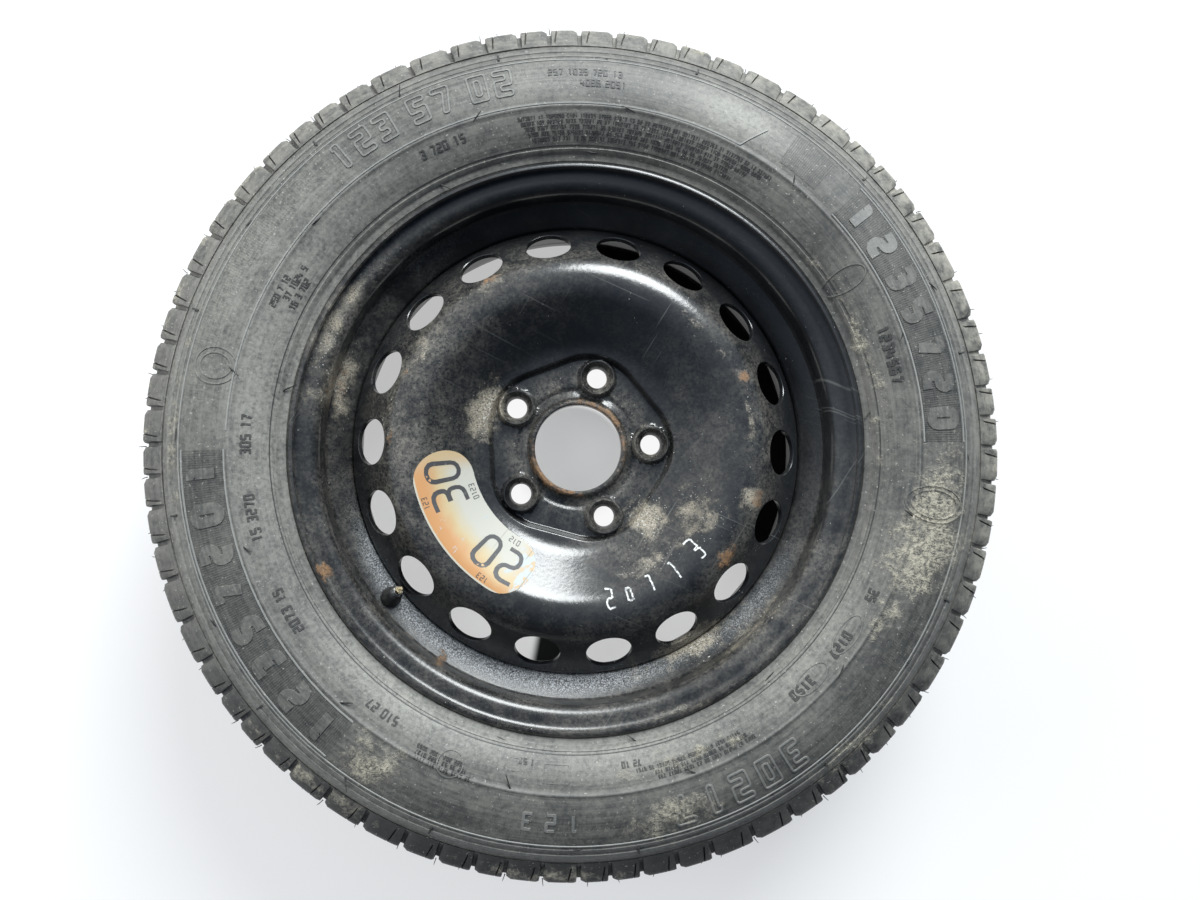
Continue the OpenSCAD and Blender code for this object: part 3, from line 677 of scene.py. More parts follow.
# Rows of one pitch: share of the pitch's length, distance from there, whether the row lies on the floor
# of the cross slot and of the slit, share of the bevel, whether it narrows with the slot, share of the slant
PITCH_ROWS = np.array([
    (0, -1.75, 0, 0, 0.35, 1, 0), (0, -1.3, 1, 0, 1, 1, 0), (0, 1.3, 1, 0, 1, 1, 0), (0, 1.75, 0, 0, 1, 1, 0),
    (0, 5.2, 0, 0, 0, 0, 0), (0.33, 0, 0, 0, 0, 0, 0.5), (0.55, -0.65, 0, 0, 0, 0, 1),
    (0.55, -0.3, 0, 1, 0, 0, 1), (0.55, 0.3, 0, 1, 0, 0, 1), (0.55, 0.65, 0, 0, 0, 0, 1),
    (0.8, 0, 0, 0, 0, 0, 0.5)])


def make_tread():
    """The tread band. Every point lies on the section and is sunk square to it by the deepest of groove,
    cross slot, slit and bevel at its row and column. Rows are turned with the slots' slant at each column."""
    half = tread_columns()
    section = np.concatenate([half, half[::-1][1:] * [-1, 1, 1, 1]])
    w, r, groove, slot_share = section.T
    share, offset, on_slot, on_slit, on_bevel, narrows, slanted = PITCH_ROWS.T[:, :, None]
    lengths = np.array([PITCH_LENGTHS[p] for p in PITCH_ORDER])
    lengths = lengths * 360 / lengths.sum()
    starts = np.cumsum(lengths) - lengths
    out = np.abs(w)
    on_shoulder = out > RIB_W
    edge = smooth((out - 62) / 10)
    height = smooth((r - UPPER_R + 1) / 7)
    slot_depth = np.where(on_shoulder, (SLOT_DEPTH - 2 * edge) * height, SLOT_DEPTH * smooth((out - 3) / 4))
    slit_depth = np.where(on_shoulder, 2.6 * smooth((r - UPPER_R - 3) / 5) * smooth((out - 47) / 6), 3)
    slant = np.where(on_shoulder, (out - 60) * 0.28, 0) * np.sign(w)
    in_pitch = offset * np.where(narrows > 0, slot_share, 1) + slant * slanted
    azimuth = (starts[:, None, None] + lengths[:, None, None] * share
               + in_pitch * math.degrees(1 / TYRE_R)).reshape(-1, len(w)) + row_shift(w)
    sunk = np.maximum.reduce(np.broadcast_arrays(groove, on_slot * slot_depth, on_slit * slit_depth,
                                                 on_bevel * 1.6 * edge * height))
    worn = 0.12 * rng.standard_normal((len(lengths), 1, 1)) * edge
    lift = -(sunk + worn).reshape(-1, len(w))
    d = np.gradient(section[:, :2], axis=0)
    across = np.stack([d[:, 1], -d[:, 0]], 1)
    across /= np.linalg.norm(across, axis=1, keepdims=True)
    across[out < FLAT_W] = [0, 1]
    top = polar(r + across[:, 1] * lift, azimuth, w + across[:, 0] * lift - INSET)
    below = np.concatenate([[(73.5, UPPER_R + 3)], under_tread(GROOVE_DEPTH + 1.8)[::-1]])
    below = np.concatenate([below, mirrored(below)[1:]])
    under = polar(below[:, 1], azimuth[:, len(w) // 2][:, None], below[:, 0] - INSET)
    shell = Shell()
    shell.skin(shell.add(np.concatenate([top, under[:, ::-1]], 1)), around=True, along=True)
    return shell.piece("tyre_tread", 32)


# Relief: ribs, pads and hairs laid on a surface

DIGITS = {
    "0": [([(0, 0), (2, 0), (2, 4), (0, 4)], True)],
    "1": [([(0.4, 3.9), (1.2, 3.9), (1.2, 0)], False)],
    "2": [([(0, 4), (2, 4), (2, 2.05), (0, 2.05), (0, 0), (2, 0)], False)],
    "3": [([(0, 4), (2, 4), (2, 2.1), (0.6, 2.1)], False), ([(0.6, 2), (2, 2), (2, 0), (0, 0)], False)],
    "4": [([(0, 4), (0, 1.5), (2.2, 1.5)], False), ([(1.6, 2.8), (1.6, 0)], False)],
    "5": [([(2, 4), (0, 4), (0, 2.1), (2, 2.1), (2, 0), (0, 0)], False)],
    "6": [([(2, 4), (0, 4), (0, 0), (2, 0), (2, 2.1), (0.2, 2.1)], False)],
    "7": [([(0, 4), (2, 4), (0.9, 0)], False)],
    "9": [([(0, 0), (2, 0), (2, 4), (0, 4), (0, 1.9), (1.8, 1.9)], False)]}
OUTLINES = {
    "0": [[(0, 0), (3, 0), (3, 5), (0, 5)], [(1, 1), (2, 1), (2, 4), (1, 4)]],
    "1": [[(1, 0), (2, 0), (2, 5), (0.7, 5), (0.7, 4), (1, 4)]],
    "2": [[(0, 0), (3, 0), (3, 1), (1, 1), (1, 2), (3, 2), (3, 5), (0, 5), (0, 4), (2, 4), (2, 3), (0, 3)]],
    "3": [[(0, 0), (3, 0), (3, 5), (0, 5), (0, 4), (2, 4), (2, 3), (0.6, 3), (0.6, 2), (2, 2), (2, 1),
           (0, 1)]],
    "5": [[(0, 0), (3, 0), (3, 3), (1, 3), (1, 4), (3, 4), (3, 5), (0, 5), (0, 2), (2, 2), (2, 1), (0, 1)]],
    "7": [[(1, 0), (2, 0), (3, 4), (3, 5), (0, 5), (0, 4), (2, 4)]]}


def rounded(corners, bend, closed):
    """Corners joined by arcs of radius bend, or less where an arc would take more than 0.45 of its shorter
    side. In a closed path the last corner leads back to the first."""
    c = np.array(corners, float)
    back, on = np.roll(c, 1, 0) - c, np.roll(c, -1, 0) - c
    sizes = np.linalg.norm(back, axis=1), np.linalg.norm(on, axis=1)
    half = np.arccos(np.clip(np.sum(back * on, 1) / (sizes[0] * sizes[1]), -1, 1)) / 2
    bends = np.minimum(bend, 0.45 * np.minimum(*sizes) * np.tan(half))
    marks = [(x, y, b) for (x, y), b in zip(corners, bends)]
    if closed:
        return bent([marks[-1]] + marks + [marks[0]], 30)[1:-1]
    return bent(marks, 30)


def bank(half_w, height, slope, foot=0.3):
    """A relief's profile as (side, height): a flat top, and two sides down to a foot under the surface."""
    return (-half_w - slope, -foot), (-half_w, height), (half_w, height), (half_w + slope, -foot)


def rib(shell, place, path, closed, half_w, height, gap=6, foot=0.3):
    """A raised rib with sloping sides along a path. place(x, y, lift) turns points of the plane into
    points on the surface, and the rib's foot lies a little under it."""
    if closed:
        path = evened(np.vstack([path, path[:1]]), gap)
        line, cut = np.vstack([path[-2:-1], path, path[1:2]]), slice(1, -2)
    else:
        line, cut = evened(path, gap), slice(None)
    n = shell.add(np.stack([place(*beside(line, side)[cut].T, lift)
                            for side, lift in bank(half_w, height, height * 0.6, foot)], 1))
    shell.skin(n, around=closed, along=True)
    if not closed:
        shell.quads += [n[:1], n[-1:]]


def write(shell, place, digits, height, half_w, lift, bend=0.25, space=1.35, gap=6):
    """Digits side by side from x = 0, drawn as ribs along their middle lines. Gives the length."""
    unit_h = (height - 2 * half_w) / 4
    x = half_w
    for digit in digits:
        if digit == " ":
            x += 2.4 * unit_h
            continue
        for order, (corners, closed) in enumerate(DIGITS[digit]):
            path = np.array(corners) * unit_h
            if bend:
                path = rounded(path, bend * unit_h, closed)
            rib(shell, place, path + [x, half_w], closed, half_w, lift * (1 - 0.04 * order), gap)
        x += 2 * unit_h + space * 2 * half_w + 0.35 * unit_h
    return x


def outline(shell, place, digits, height, half_w, lift, space=1.3):
    """Digits side by side, each drawn by a thin rib round its edge."""
    unit_h = height / 5
    x = 0
    for digit in digits:
        if digit == " ":
            x += 2 * unit_h
            continue
        for corners in OUTLINES[digit]:
            path = rounded([(px * unit_h, py * unit_h) for px, py in corners], 0.42 * unit_h, True)
            rib(shell, place, path + [x, 0], True, half_w, lift, 5)
        x += 3 * unit_h + space * unit_h
    return x


def on_wall(turn, radius, side=1):
    """Places the plane on a sidewall: x runs clockwise from turn and y outwards from radius, as words on a
    tyre do."""
    def place(x, y, lift):
        r = radius + y
        return wall_point(r, turn - side * np.degrees(x / radius), lift + 0.9 * ring_lift(r), side)
    return place


def around(shell, turn, sweep, radius, half_w, lift, side=1, step=3):
    """A rib round the wheel from turn over sweep degrees, or all the way round."""
    count = max(2, int(abs(sweep) / step))
    full = abs(sweep) >= 360
    a = turn + sweep * np.arange(count + (not full)) / count
    profile = bank(half_w, lift, lift * 0.6)
    n = shell.add(np.stack([wall_point(radius + d, a, h, side) for d, h in profile], 1))
    shell.skin(n, around=full, along=True)
    if not full:
        shell.quads += [n[:1], n[-1:]]


def hatch(shell, turn, sweep, inner, outer, pitch, lift, half_w=0.42, side=1):
    """Fine radial ribs side by side over a panel."""
    count = int(math.radians(sweep) * (inner + outer) / 2 / pitch)
    a = turn + sweep * (np.arange(count) + 0.5) / count
    r = np.linspace(inner, outer, 4)
    n = shell.add(np.stack([wall_point(r[None, :], a[:, None] + np.degrees(d / r)[None, :], h, side)
                            for d, h in bank(half_w, lift, lift * 0.5)], 2))
    loop = np.concatenate([n, n[:, :, :1]], 2)
    quads = np.stack([loop[:, :-1, :-1], loop[:, 1:, :-1], loop[:, 1:, 1:], loop[:, :-1, 1:]], -1)
    shell.quads += [quads.reshape(-1, 4), n[:, 0], n[:, -1]]


def hair(shell, foot, out, lean, length, thick=0.5, rise=0.75):
    """A thin rubber hair: a tapering six-sided tube that leaves the surface along out and bends over
    towards lean. It rises by a share of its length."""
    out, lean = unit(np.array(out, float)), unit(np.array(lean, float))
    share = np.linspace(0, 1, 6)
    line = np.array(foot) + np.outer(share * length * rise - 0.5, out)
    line += np.outer(share ** 2 * length * (1.35 - rise), lean)
    side = unit(np.cross(out, lean))
    a = np.arange(6) * math.pi / 3
    radius = thick * np.array([1.5, 1, 0.9, 0.85, 0.75, 0.3])
    d = np.gradient(line, axis=0)
    d /= np.linalg.norm(d, axis=1, keepdims=True)
    other = np.cross(d, side)
    n = shell.add(line[:, None] + radius[:, None, None] * (np.cos(a)[:, None] * side
                                                           + np.sin(a)[:, None] * other[:, None]))
    shell.skin(n, along=True)
    shell.cap(n[0])
    shell.cap(n[-1])


def row_of_numbers(shell, place, wild, arc, height, half_w, lift, longest):
    """Short plain numbers side by side from x = 0 until the row is arc long."""
    x = 0
    while x < arc:
        text = "".join(str(d) for d in wild.choice([0, 1, 2, 3, 5, 7], int(wild.integers(2, longest))))

        def moved(px, py, up, start=x):
            return place(px + start, py, up)
        x += write(shell, moved, text, height, half_w, lift, 0, gap=9) + 1.5


def make_marks(side=1):
    """The mould's marks on one sidewall: rings, ticks, hatched panels with bold digits, outlined digits,
    rows of small digits and ovals. All numbers are plain and stand for nothing. Angles run the other way
    on the rear side."""
    shell = Shell()
    wild = np.random.default_rng(7)

    def place(turn, radius):
        return on_wall(side * turn, radius, side)

    def span(start, sweep):
        return (start, sweep) if side > 0 else (-start - sweep, sweep)

    # Painted highlight on the raised rings and the slanted rib
    shell.tone = 1
    around(shell, 0, 360, 279.4, 0.3, 0.5, side, 2)
    around(shell, *span(62, 116), 245.4, 0.4, 0.7, side)
    rib(shell, place(62, 245.4), np.array([(0.0, 0.0), (12.0, 20.0)]), False, 0.4, 0.7, 3)
    # Painted shade on the small hatched patch
    shell.tone = -0.5
    hatch(shell, *span(47.5, 7.5), 250, 276.5, 1.5, 0.3, side=side)
    # Painted shade on the ticks and the bead lines
    shell.tone = -1
    for k in range(12):
        rib(shell, place(13.8 + 29.4 * k, 283.8), np.array([(0, 0), (0.4, 5.6)]), False, 0.45, 0.9)
    for radius in (209.2, 211.2, 213.6, 217.9):
        around(shell, 0, 360, radius, 0.32, 0.2, side, 2)
    for (start, sweep), digits in zip(PANELS, ("1235720", "12357201")):
        # Painted shade on each panel's hatching, painted highlight on its border rings and its digits,
        # strongest on the first two digits of the front side's first panel
        shell.tone = -0.35
        hatch(shell, *span(start, sweep), 247.8, 276, 1.6, 0.3, side=side)
        shell.tone = 1
        for radius, half_w in ((246.6, 0.4), (277, 0.35)):
            around(shell, *span(start, sweep), radius, half_w, 0.7, side)
        for k, digit in enumerate(digits):
            turn = start + sweep - 1.4 - k * (sweep - 1) / len(digits)
            shell.tone = 0.5 if side > 0 and start < 90 and k < 2 else 0.15
            write(shell, place(turn, 249.6), digit, 24, 3.4, 0.8, 1.1)
    shell.tone = 0
    for start, sweep in ((46, 128), (234, 114)):
        hatch(shell, *span(start, sweep), 262, 278, 1.9, 0.14, 0.36, side)
    # Painted highlight on the outlined digits and the row of plain digits
    shell.tone = 0.45
    outline(shell, place(131, 254.5), "123 57 02", 20.5, 0.55, 0.7)
    outline(shell, place(306, 253.5), "30217", 21, 0.55, 0.7, 1.9)
    write(shell, place(270, 256), "1 2 3", 13, 0.9, 0.55)
    # Painted shade on the small raised digits
    shell.tone = -0.85
    for turn, radius, text, height, half_w, lift in (
            (95, 266, "257 1035 720 13", 5.4, 0.42, 0.4), (90, 257.5, "4096 2051", 5.4, 0.42, 0.4),
            (21.5, 229.5, "1234567", 8.2, 0.85, 0.7), (214, 229, "2073 15", 7.0, 0.6, 0.5),
            (197, 229, "15 3270", 7.0, 0.6, 0.5), (182, 229, "305 17", 7.0, 0.6, 0.5),
            (237, 227, "510 27", 6.4, 0.5, 0.45), (119, 231, "3 720 15", 6.6, 0.55, 0.5),
            (334, 230, "35", 7.2, 0.7, 0.55), (325, 229, "0127", 7.2, 0.7, 0.55),
            (315, 229, "3150", 7.2, 0.7, 0.55), (156, 234, "250 7 12", 4.6, 0.4, 0.4),
            (154, 228, "37 1024 5", 4.6, 0.4, 0.4), (155, 222, "16 3 702", 4.6, 0.4, 0.4),
            (281, 224, "72 10", 4.2, 0.4, 0.4), (262, 222, "1 57", 4.2, 0.4, 0.4)):
        write(shell, place(turn, radius), text, height, half_w, lift, 0.25 if height > 6 else 0)
    for row in range(5):
        line = place(101 - 0.5 * row, 235.4 - 3.6 * row)
        row_of_numbers(shell, line, wild, 185 - 12 * row, 2.6, 0.25, 0.35, 8)
    for row in range(3):
        row_of_numbers(shell, place(301 - row, 236.5 - 3.5 * row), wild, 70, 2.6, 0.25, 0.35, 6)
        row_of_numbers(shell, place(252 - row, 242 - 3.8 * row), wild, 34, 2.8, 0.27, 0.35, 5)
    # A faint painted highlight on the ovals and frames
    shell.tone = 0.2
    t = np.linspace(0, 2 * math.pi, 36, endpoint=False)
    for turn, radius, a, b in (
            (350.5, 257, 13, 21), (350.5, 257, 10, 17), (168, 259, 13, 15), (168, 259, 9, 11),
            (32, 226, 8, 16), (324.6, 232.6, 16, 6.4), (314.6, 232.6, 15, 6.4), (248, 238, 9, 9)):
        rib(shell, place(turn, radius), np.stack([a * np.cos(t), b * np.sin(t)], 1), True, 0.4, 0.55, 9)
    for x, y, w, h in ((-9, -6, 18, 12), (26, -7, 8, 8)):
        frame_line = rounded([(x, y), (x + w, y), (x + w, y + h), (x, y + h)], 1, True)
        rib(shell, place(266, 230), frame_line, True, 0.3, 0.4)
    return shell.piece("sidewall_marks" if side > 0 else "rear_marks", 30)


def make_hairs():
    """The rubber hairs that the mould's vents leave: on three circles of each sidewall, bent along it, and
    short ones on the shoulders' blocks."""
    shell = Shell()
    wild = np.random.default_rng(5)
    for side in (1, -1):
        for count, radius, first, length in ((13, 213.4, 5, 8), (12, 242.6, 18, 8), (12, 281.4, 28, 7)):
            for k in range(count):
                turn = first + 360 * k / count + wild.uniform(-3, 3)
                foot, tip = wall_point(np.full(2, radius), turn, np.array([0, 1]), side)
                lean = polar(1, turn + wild.uniform(20, 160) * wild.choice([-1, 1]), 0)
                hair(shell, foot, tip - foot, lean, length * wild.uniform(0.7, 1.2), 0.6, 0.26)
        for k in range(72):
            turn = 5 * k + wild.uniform(-1.6, 1.6)
            w = wild.uniform(66, 71)
            out = polar(1, turn, side * 0.35)
            hair(shell, polar(tread_at(w) - 1.2, turn, side * w - INSET), out,
                 polar(1, turn + wild.uniform(-60, 60), side * 0.5), wild.uniform(2.6, 4.2), 0.34)
    return shell.piece("mould_hairs", 60)


# Label, marker strokes, welds and valve

def on_bowl(turn, radius):
    """Places the plane on the bowl: x runs clockwise from turn and y outwards from radius."""
    line = over_skirt(bowl_front)
    slope = np.gradient(line[:, 1], line[:, 0])

    def place(x, y, lift):
        r = radius + y
        z = np.interp(r, *line.T)
        tilt = np.arctan(np.interp(r, line[:, 0], slope))
        return polar(r - lift * np.sin(tilt), turn - np.degrees(x / radius), z + lift * np.cos(tilt))
    return place


def make_label():
    """The label: a band round the axis, whose breadth at its ends follows a half circle, with a front face
    and a back face a quarter of a millimetre apart."""
    middle, half = (LABEL_IN_R + LABEL_OUT_R) / 2, (LABEL_OUT_R - LABEL_IN_R) / 2
    straight = math.radians(LABEL_SWEEP) * middle / 2
    end = straight + half * np.sin(np.linspace(0, math.pi / 2, 14)[1:])
    along = np.concatenate([-end[::-1], np.linspace(-straight, straight, 41), end])
    breadth = np.sqrt(np.maximum(half ** 2 - np.maximum(0, np.abs(along) - straight) ** 2, 0.04))
    x, y = np.broadcast_arrays(along[:, None], breadth[:, None] * np.linspace(-1, 1, 19))
    x = x + np.sign(x) * np.maximum(0, np.abs(x) - straight) * (middle / (middle + y) - 1)
    place = on_bowl(LABEL_TURN, middle)
    shell = Shell()
    faces = [shell.add(place(x, y, lift)) for lift in LABEL_FACES]
    for n in faces:
        shell.skin(n)
    shell.skin(np.array([np.concatenate([n[:-1, 0], n[-1, :-1], n[:0:-1, -1], n[0, :0:-1]]) for n in faces]),
               along=True)
    made = shell.piece("label_film", 60)
    mark(made, "across", np.tile((y / half).ravel(), 2))
    mark(made, "lengthwise", np.tile((x / straight).ravel(), 2))
    return made


def make_label_print():
    """Numbers printed on the label: two large pairs of digits and four short rows of small ones."""
    shell = Shell()
    for turn, digits in ((206.5, "30"), (244.5, "20")):
        write(shell, on_bowl(turn, 88.5), digits, 25, 1.45, 0.31, 0.95, 1.5, 3)
    for turn, radius, digits in ((203, 115.6, "123"), (236, 115.6, "123"), (207, 82, "0123"),
                                 (239, 82, "012")):
        write(shell, on_bowl(turn, radius), digits, 4.2, 0.28, 0.3, 0.25, 1.6, 3)
    return shell.piece("label_print", 60)


def make_strokes():
    """A row of loosely drawn numbers in white marker on the bowl, each stroke a thin wavering film. The row
    runs the other way round than the label, with its tops towards the hub."""
    shell = Shell()
    wild = np.random.default_rng(11)
    for turn, digit, height, radius in ((281.4, "2", 13, 119), (288.7, "0", 9, 117.5), (297.4, "7", 13, 119),
                                        (307.8, "1", 14, 120.5), (318.4, "3", 16, 121)):
        place = on_bowl(turn, radius)

        def turned(x, y, lift, at=place):
            return at(-x, -y, lift)
        for corners, closed in DIGITS[digit]:
            path = np.array(corners) * [height / 5.2, height / 4] + wild.normal(0, 0.5, (len(corners), 2))
            path = evened(rounded(path, 1.6, closed), 2)
            path = path + wild.normal(0, 0.2, path.shape) - [height / 5, 0]
            rib(shell, turned, path, closed, 0.62, 0.06, 3, 0.04)
    return shell.piece("marker_strokes", 60)


def make_welds():
    """Six welds behind the disc: a triangular bead between skirt and well, rippled along its length and
    rounded off at its ends."""
    shell = Shell()
    for k in range(6):
        a = np.linspace(0, 32, 97)
        end = smooth(np.minimum(a, 32 - a) / 1.4) * 0.9 + 0.1
        ripple = 0.3 * np.abs(np.sin(np.radians(a * 112)))
        size = end * (1 - 0.12 * ripple)
        rows = []
        for r, z in ((0.02, 0.3), (-2.9, 0.3), (-3.0, -1.2), (-2.6, -2.4), (-1.9, -3.3), (-1.0, -4.0),
                     (0.02, -4.4), (0.03, -2.0)):
            grown = size + (ripple * 0.12 if r < -1 else 0)
            out = r * (grown if r < 0 else 1)
            rows.append(polar(SKIRT_R + out, 14 + 60 * k + a, SKIRT_END_Z + z * grown))
        n = shell.add(np.stack(rows, 1))
        shell.skin(n, along=True)
        shell.cap(n[0])
        shell.cap(n[-1])
    return shell.piece("weld_beads", 30)


# The valve's mouth, its axis out of the mouth and two directions square to it
VALVE_TIP = np.array(mounts["valve_mouth"]["pos_m"]) / MM
VALVE_AXIS = unit(np.array(mounts["valve_mouth"]["axis"]))
VALVE_SIDE = unit(np.cross([0, 0, 1], -VALVE_AXIS))
VALVE_OTHER = np.cross(VALVE_AXIS, VALVE_SIDE)


def round_valve(radius, turn, height):
    """Points at a radius, a turn in radians and a height on the valve's own axis, measured from its mouth."""
    r, a, h = (v[..., None] for v in np.broadcast_arrays(radius, turn, height))
    return VALVE_TIP + h * VALVE_AXIS + r * (np.cos(a) * VALVE_SIDE + np.sin(a) * VALVE_OTHER)


def make_stem():
    """The valve's metal tube, turned about its own axis, with a thread outside its mouth: the radius rises
    and falls with height over pitch less turn, so the thread climbs, and it fades out at both ends."""
    a = np.arange(40) * math.pi / 20
    h = np.linspace(-8.5, -0.5, 72)
    thread = 0.13 + 0.13 * np.cos(2 * math.pi * (h[:, None] / 0.79 - a / (2 * math.pi)))
    thread = thread * smooth(np.minimum(h + 8.6, -0.4 - h) / 0.8)[:, None]
    below = np.array([(-30.8, 3.25), (-20, 3.25), (-8.7, 3.25)])
    inside = np.array([(-0.3, 3.5), (-0.08, 3.36), (0, 3.15), (0, 2.98), (-0.15, 2.78), (-0.35, 2.68),
                       (-4, 2.65), (-9.2, 2.65), (-10.4, 2.05), (-30.8, 2.05)])
    height = np.concatenate([below[:, 0], h, inside[:, 0]])
    radius = np.concatenate([np.repeat(below[:, 1:], 40, 1), 3.55 + thread, np.repeat(inside[:, 1:], 40, 1)])
    shell = Shell()
    shell.skin(shell.add(round_valve(radius, a, height[:, None])), around=True, along=True)
    return shell.piece("valve_tube", 40)


def make_spring():
    """The core's spring, a round wire swept along a helix between the ends of the solid that it stands for."""
    solid = points_of(frame["nodes"]["core_spring"]) - VALVE_TIP
    height = solid @ VALVE_AXIS
    radius = np.linalg.norm(solid - np.outer(height, VALVE_AXIS), axis=1)
    wire = (radius.max() - radius.min()) / 2
    top, foot = height.max() - wire, height.min() + wire
    a = np.arange(SPRING_TURNS * 30 + 1)[:, None] * math.pi / 15
    b = np.arange(10) * math.pi / 5
    r = radius.max() - wire + wire * np.cos(b)
    h = top + (foot - top) * a / a[-1] + wire * np.sin(b)
    shell = Shell()
    n = shell.add(round_valve(r, a, h))
    shell.skin(n, along=True)
    shell.cap(n[0])
    shell.cap(n[-1])
    made = dress(shell.piece("core_coil", 60), steel, replaces=["core_spring"])
    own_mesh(made)


# Materials

class Look:
    """A material and its nodes. Each input is a number, a colour or another node's output."""

    def __init__(self, name):
        self.material = bpy.data.materials.new(name)
        self.material.use_nodes = True
        self.tree = self.material.node_tree
        self.shader = self.tree.nodes["Principled BSDF"]
        self.place = self.node("ShaderNodeTexCoord").outputs["Object"]

    def node(self, kind, inputs=(), **settings):
        made = self.tree.nodes.new(kind)
        for key, value in settings.items():
            setattr(made, key, value)
        for key, value in dict(inputs).items():
            self.feed(made.inputs[key], value)
        return made

    def feed(self, socket, value):
        if isinstance(value, bpy.types.NodeSocket):
            self.tree.links.new(value, socket)
        else:
            socket.default_value = value

    def set(self, **inputs):
        """Feeds the shader and gives the material."""
        for key, value in inputs.items():
            self.feed(self.shader.inputs[key.replace("_", " ")], value)
        return self.material

    def maths(self, operation, first, *more):
        """The values taken together by one operation, from the first to the last."""
        for value in more or (0.0,):
            first = self.node("ShaderNodeMath", {0: first, 1: value}, operation=operation).outputs[0]
        return first

    plus = partialmethod(maths, "ADD")
    minus = partialmethod(maths, "SUBTRACT")
    times = partialmethod(maths, "MULTIPLY")
    most = partialmethod(maths, "MAXIMUM")
    size_of = partialmethod(maths, "ABSOLUTE")

    def noise(self, scale, detail=2.0, rough=0.5, place=None):
        """Noise of the size 1 / scale, in metres, with a number of finer layers of a given strength."""
        return self.node("ShaderNodeTexNoise", {"Vector": place or self.place, "Scale": scale,
                                                "Detail": detail, "Roughness": rough}).outputs[0]

    def fade(self, value, low, high):
        """0 where value is below low, 1 above high, and smooth between."""
        return self.node("ShaderNodeMapRange", {"Value": value, "From Min": low, "From Max": high},
                         interpolation_type="SMOOTHSTEP").outputs[0]

    def mix(self, a, b, share):
        made = self.node("ShaderNodeMix", data_type="RGBA")
        for number, value in ((0, share), (6, a), (7, b)):
            self.feed(made.inputs[number], (*value, 1) if isinstance(value, tuple) else value)
        return made.outputs[2]

    def coats(self, base, *coats):
        """Colours laid over a base one after the other, each by its share."""
        for colour, share in coats:
            base = self.mix(base, colour, share)
        return base

    def mark(self, name):
        return self.node("ShaderNodeAttribute", attribute_name=name).outputs["Fac"]

    def stretched(self, scale, turn=(0, 0, 0)):
        """The place turned by turn in degrees, then scaled along each axis."""
        angles = [math.radians(t) for t in turn]
        turned = self.node("ShaderNodeMapping", {"Vector": self.place, "Rotation": angles}).outputs[0]
        return self.node("ShaderNodeVectorMath", {0: turned, 1: scale}, operation="MULTIPLY").outputs[0]

    def round_place(self):
        """Radius in millimetres and azimuth in degrees."""
        x, y, _ = self.node("ShaderNodeSeparateXYZ", {0: self.place}).outputs
        radius = self.maths("SQRT", self.plus(self.times(x, x), self.times(y, y)))
        return self.times(radius, 1 / MM), self.times(self.maths("ARCTAN2", y, x), 180 / math.pi)

    def bump(self, height, distance, strength=1.0, normal=None):
        made = self.node("ShaderNodeBump", {"Height": height, "Distance": distance, "Strength": strength})
        if normal:
            self.feed(made.inputs["Normal"], normal)
        return made.outputs[0]

    def clumps(self, mark, cloud, swing, ends, reach, grain, grain_top):
        """Dirt where its mark plus a cloud noise's swing is high. It stays within the mark's reach, and a
        fine grain breaks it up."""
        amount = self.plus(mark, self.times(self.minus(cloud, 0.5), swing))
        return self.times(self.fade(amount, *ends), self.fade(mark, *reach), self.fade(grain, 0.3, grain_top))


def black_paint(name, gloss):
    """Gloss black enamel with orange peel, fine scratches, specks, a thin film of dust that is also painted
    sheen where the film mark is high, caked dust where the dust mark is, grey sand specks and a painted
    glint where the grit mark is, and rust in spots."""
    look = Look(name)
    broad = look.noise(9, 2)
    grain = look.noise(900, 3, 0.7)
    dust_mark, rust_mark, grit_and_glint_mark = look.mark("dust"), look.mark("rust"), look.mark("grit")
    dust = look.clumps(dust_mark, look.noise(60, 7, 0.72), 2.6, (0.42, 1.2), (0.03, 0.3), grain, 0.6)
    rust = look.clumps(rust_mark, look.noise(130, 8, 0.8), 2.6, (0.5, 1.0), (0.1, 0.5), grain, 0.55)
    # Dust film that is also painted sheen, lighter where the film mark is high
    dust_haze_and_sheen = look.times(look.fade(look.noise(48, 9, 0.82), 0.34, 0.7), look.mark("film"),
                      look.fade(look.noise(420, 4, 0.8), 0.3, 0.62))
    speck_line = look.minus(0.77, look.times(dust_mark, 0.14))
    specks = look.times(look.fade(look.minus(look.noise(700, 1), speck_line), 0, 0.03),
                        look.fade(look.noise(26, 2), 0.42, 0.6))
    # Grey sand specks that are also a painted glint of sunlit paint on the well
    grit = look.times(look.fade(grit_and_glint_mark, 0.15, 0.9), look.fade(grain, 0.38, 0.64))
    lines = [look.fade(look.noise(1, 1, place=look.stretched(scale, turn)), line, line + 0.03)
             for turn, scale, line in (((0, 0, 24), (9, 640, 9), 0.71), ((0, 0, -58), (12, 520, 12), 0.72))]
    scratches = look.times(look.most(*lines), look.fade(broad, 0.48, 0.62))
    sand = look.mix((0.1, 0.106, 0.112), (0.86, 0.9, 0.93), look.fade(look.noise(1300, 2, 0.8), 0.36, 0.64))
    cake = look.mix((0.26, 0.22, 0.16), (0.58, 0.52, 0.4), grain)
    scale = look.mix((0.11, 0.05, 0.022), (0.42, 0.245, 0.115), look.noise(330, 4, 0.7))
    base = look.coats(
        look.mix((0.006, 0.0068, 0.0078), (0.013, 0.0145, 0.0165), look.fade(broad, 0.35, 0.7)),
        ((0.12, 0.12, 0.115), look.times(scratches, 0.5)), ((0.24, 0.225, 0.195), dust_haze_and_sheen),
        (sand, look.times(grit, 0.92)), (cake, look.times(dust, 0.85)),
        ((0.56, 0.54, 0.49), look.times(specks, 0.8)), (scale, rust))
    rough = look.plus(gloss, look.times(broad, 0.08), look.times(look.most(dust, rust, grit), 0.5))
    peel = look.bump(look.noise(330, 1), 0.00022, 0.35)
    grains = look.plus(look.times(dust, grain), look.times(rust, 0.8))
    return look.set(Base_Color=base, Roughness=rough, Normal=look.bump(grains, 0.0004, 0.7, peel), IOR=1.6)


